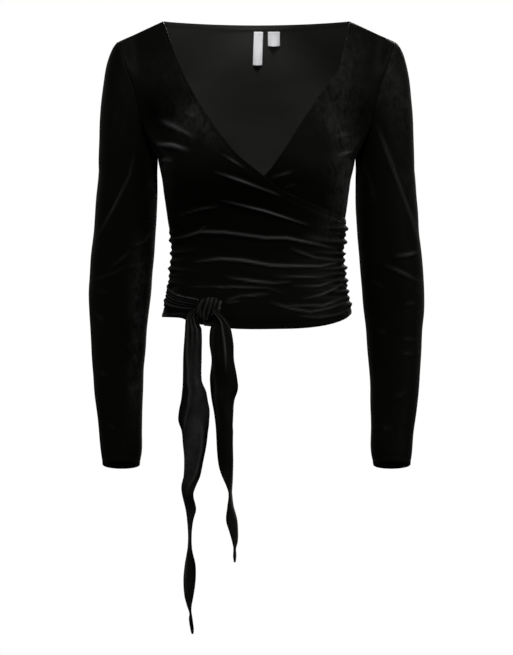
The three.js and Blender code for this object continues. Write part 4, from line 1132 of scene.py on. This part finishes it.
# half its breadth as a share of the strip, height, how strong its painted highlight is, its line as level
# and place across
TAIL_FOLDS = {
    "tie_tail_long": [
        (0.05, 2.0, 0.55, [(-395, 0.30), (-410, 0.28), (-425, 0.24), (-440, 0.20)]),
        (0.04, 1.8, 0.50, [(-396, 0.04), (-412, 0.07), (-440, 0.12)]),
        (0.04, 1.8, 0.40, [(-397, -0.12), (-414, -0.08), (-446, -0.03)]),
        (0.05, 2.2, 0.5, [(-400, -0.25), (-430, -0.20), (-480, -0.10), (-530, -0.16), (-560, -0.30)]),
        (0.06, -1.6, 0, [(-430, -0.06), (-480, 0.0), (-530, -0.06)]),
        (0.07, 1.4, 0.35, [(-560, 0.30), (-590, 0.34), (-640, 0.28)]),
        (0.10, 1.0, 0.15, [(-600, -0.1), (-680, 0.0), (-780, 0.0)]),
    ],
    "tie_tail_short": [
        (0.045, 2.4, 0.75, [(-398, 0.02), (-410, 0.05), (-440, 0.09), (-466, 0.08)]),
        (0.05, 1.8, 0.45, [(-398, 0.18), (-408, 0.25), (-422, 0.36)]),
        (0.06, -1.6, 0, [(-405, -0.06), (-440, -0.03), (-470, -0.03)]),
        (0.06, 1.3, 0.15, [(-420, -0.26), (-480, -0.30), (-560, -0.22)]),
        (0.07, 1.2, 0.2, [(-560, 0.28), (-600, 0.22), (-640, 0.1)]),
    ],
}
# painted sheen on parts of a strip: amount, middle level, place across, half height, half breadth
TAIL_PAINTED_SHEEN = {
    "tie_tail_long": [
        (0.62, -492, 0.2, 58, 0.30), (0.6, -575, -0.02, 50, 0.35), (0.3, -680, 0, 60, 0.5),
        (0.2, -780, 0, 50, 0.5),
    ],
    "tie_tail_short": [
        (0.05, -460, 0.1, 60, 0.4), (0.08, -560, 0.2, 40, 0.3), (0.14, -680, 0, 60, 0.5),
    ],
}


def tie_tail(name, table, front_y):
    z = np.linspace(table[0][0], table[-1][0], TAIL_STEPS)[:, None]
    v = np.linspace(-0.5, 0.5, TAIL_ACROSS)[None]
    middle, strip, turn, curl = (along(table, column, z) for column in (1, 2, 3, 4))
    turn, curl = np.radians(turn), np.radians(np.maximum(curl, LEAST_CURL))
    radius = strip / curl
    sag = radius * (1 - np.cos(curl / 2)) / 2
    px = radius * np.sin(v * curl)
    py = radius * (1 - np.cos(v * curl)) - sag
    x = middle + px * np.cos(turn) - py * np.sin(turn)
    y = front_y + px * np.sin(turn) + py * np.cos(turn)
    net = np.stack([x, y, z + 0 * px], -1)
    normal = unit(np.cross(np.gradient(net, axis=1), np.gradient(net, axis=0)))
    normal *= -np.sign(normal[FACING_ROW, TAIL_ACROSS // 2, 1])
    height, painted_highlight, painted_sheen = np.zeros(px.shape), np.zeros(px.shape), np.zeros(px.shape)
    for half, high, painted_shine, line in TAIL_FOLDS[name]:
        line = np.array(line, float)
        place = np.interp(-z, -line[:, 0], line[:, 1])
        begin, end = line[0, 0], line[-1, 0]
        fade = smooth(-z, -begin - FOLD_ABOVE, -begin + FOLD_BELOW)
        fade = fade * smooth(z, end - FOLD_OUT, end + FOLD_OUT)
        height += high * hump(v - place, half) * fade
        painted_highlight = np.maximum(painted_highlight, painted_shine * hump(v - place, TAIL_EDGE * half) * fade)
    # painted sheen on parts of the strip, added to the painted highlight
    for amount, level, place, tall, wide in TAIL_PAINTED_SHEEN[name]:
        painted_sheen += amount * hump(z - level, tall) * hump(v - place, wide)
    painted_sheen = TAIL_PAINTED_SHEEN_STRENGTH * np.clip(painted_sheen, 0, 1)
    height += TAIL_RIPPLE * np.sin(z * 0.09 + v * 5) * (1 - 4 * v**2)
    rim = (0.5 - np.abs(v)) * strip
    depth = TAIL_CLOTH * mix(RIM_THICK, 1, smooth(rim, 0, RIM_WIDE))
    marks = {"painted_highlight": painted_highlight + painted_sheen, "painted_sheen": painted_sheen, "edge": np.full(px.shape, NO_HEM), "run": 0 * px}
    return shell(name, net, normal, TAIL_CLOTH / 2 + height, depth, [VELVET], marks)


tail_long = tie_tail("tie_tail_long", TAIL_LONG, TAIL_LONG_Y)
tail_short = tie_tail("tie_tail_short", TAIL_SHORT, TAIL_SHORT_Y)

# Labels
# Two woven tapes, white and bare, sewn by their upper ends to the back's neck hem, inside. They hang free
# below it and lift a little from the cloth. A faint painted glow keeps them bright.
TAPE_WHITE, TAPE_GREY = (0.98, 0.98, 1.0, 1), (0.74, 0.75, 0.78, 1)
TAPE_THICK, TAPE_CLEAR, TAPE_CURL, TAPE_LIFT = 0.6, 1.1, 1.2, 0.8
TAPE_ROWS, TAPE_ACROSS = 49, 15
# name, left side, how far below the neck edge, width, length, how far it leans
LABELS = [("label_long", -3.6, 8, 13, 47, 1.6), ("label_small", 16.9, 8, 17.0, 19.8, 0.0)]


def tape_finish():
    tape = Finish("label_tape")
    place = tape.place()
    ribs = tape.node("ShaderNodeTexWave", {"wave_type": "BANDS", "bands_direction": "Z"}, {
        "Vector": place, "Scale": 700.0, "Distortion": 0.3,
    })
    mottle = tape.node("ShaderNodeTexNoise", {}, {"Vector": place, "Scale": 220.0, "Detail": 2.0})
    selvedge = tape.scaled(tape.mark("edge"), 0.5, 1.3, 0.55, 0.0)
    colour = tape.blend(mottle * 0.25 + ribs * 0.1 + selvedge, TAPE_WHITE, TAPE_GREY)
    shader = tape.node("ShaderNodeBsdfPrincipled", {}, {
        "Base Color": colour,
        "Roughness": 0.55,
        "Specular IOR Level": 0.4,
        "Sheen Weight": 0.1,
        "Normal": tape.bump(ribs, 0.3, 0.0003),
        # painted glow: the tape gives off a little light in its own colour
        "Emission Color": colour,
        "Emission Strength": 0.12,
    })
    return tape.surface(shader)


TAPE = tape_finish()
for name, left, drop, wide, tall, lean in LABELS:
    share = np.linspace(0, 1, TAPE_ACROSS)[None]
    down = np.linspace(0, 1, TAPE_ROWS)[:, None]
    z = NECK_Z - drop - down * tall + 0 * share
    net = torso_point(left + share * wide - lean * down, z, 1)
    normal = outward(net, False, net * np.array([0, 0, 1]))
    curl = TAPE_CURL * down**2 * np.cos(2 * math.pi * (share - 0.5)) + TAPE_LIFT * down
    lift = -CLOTH - TAPE_CLEAR - curl
    side = np.minimum(share, 1 - share) * wide
    marks = {"edge": np.minimum(side, np.minimum(down, 1 - down) * tall)}
    tag = shell(name, net, normal, lift, np.full(z.shape, TAPE_THICK), [TAPE], marks)
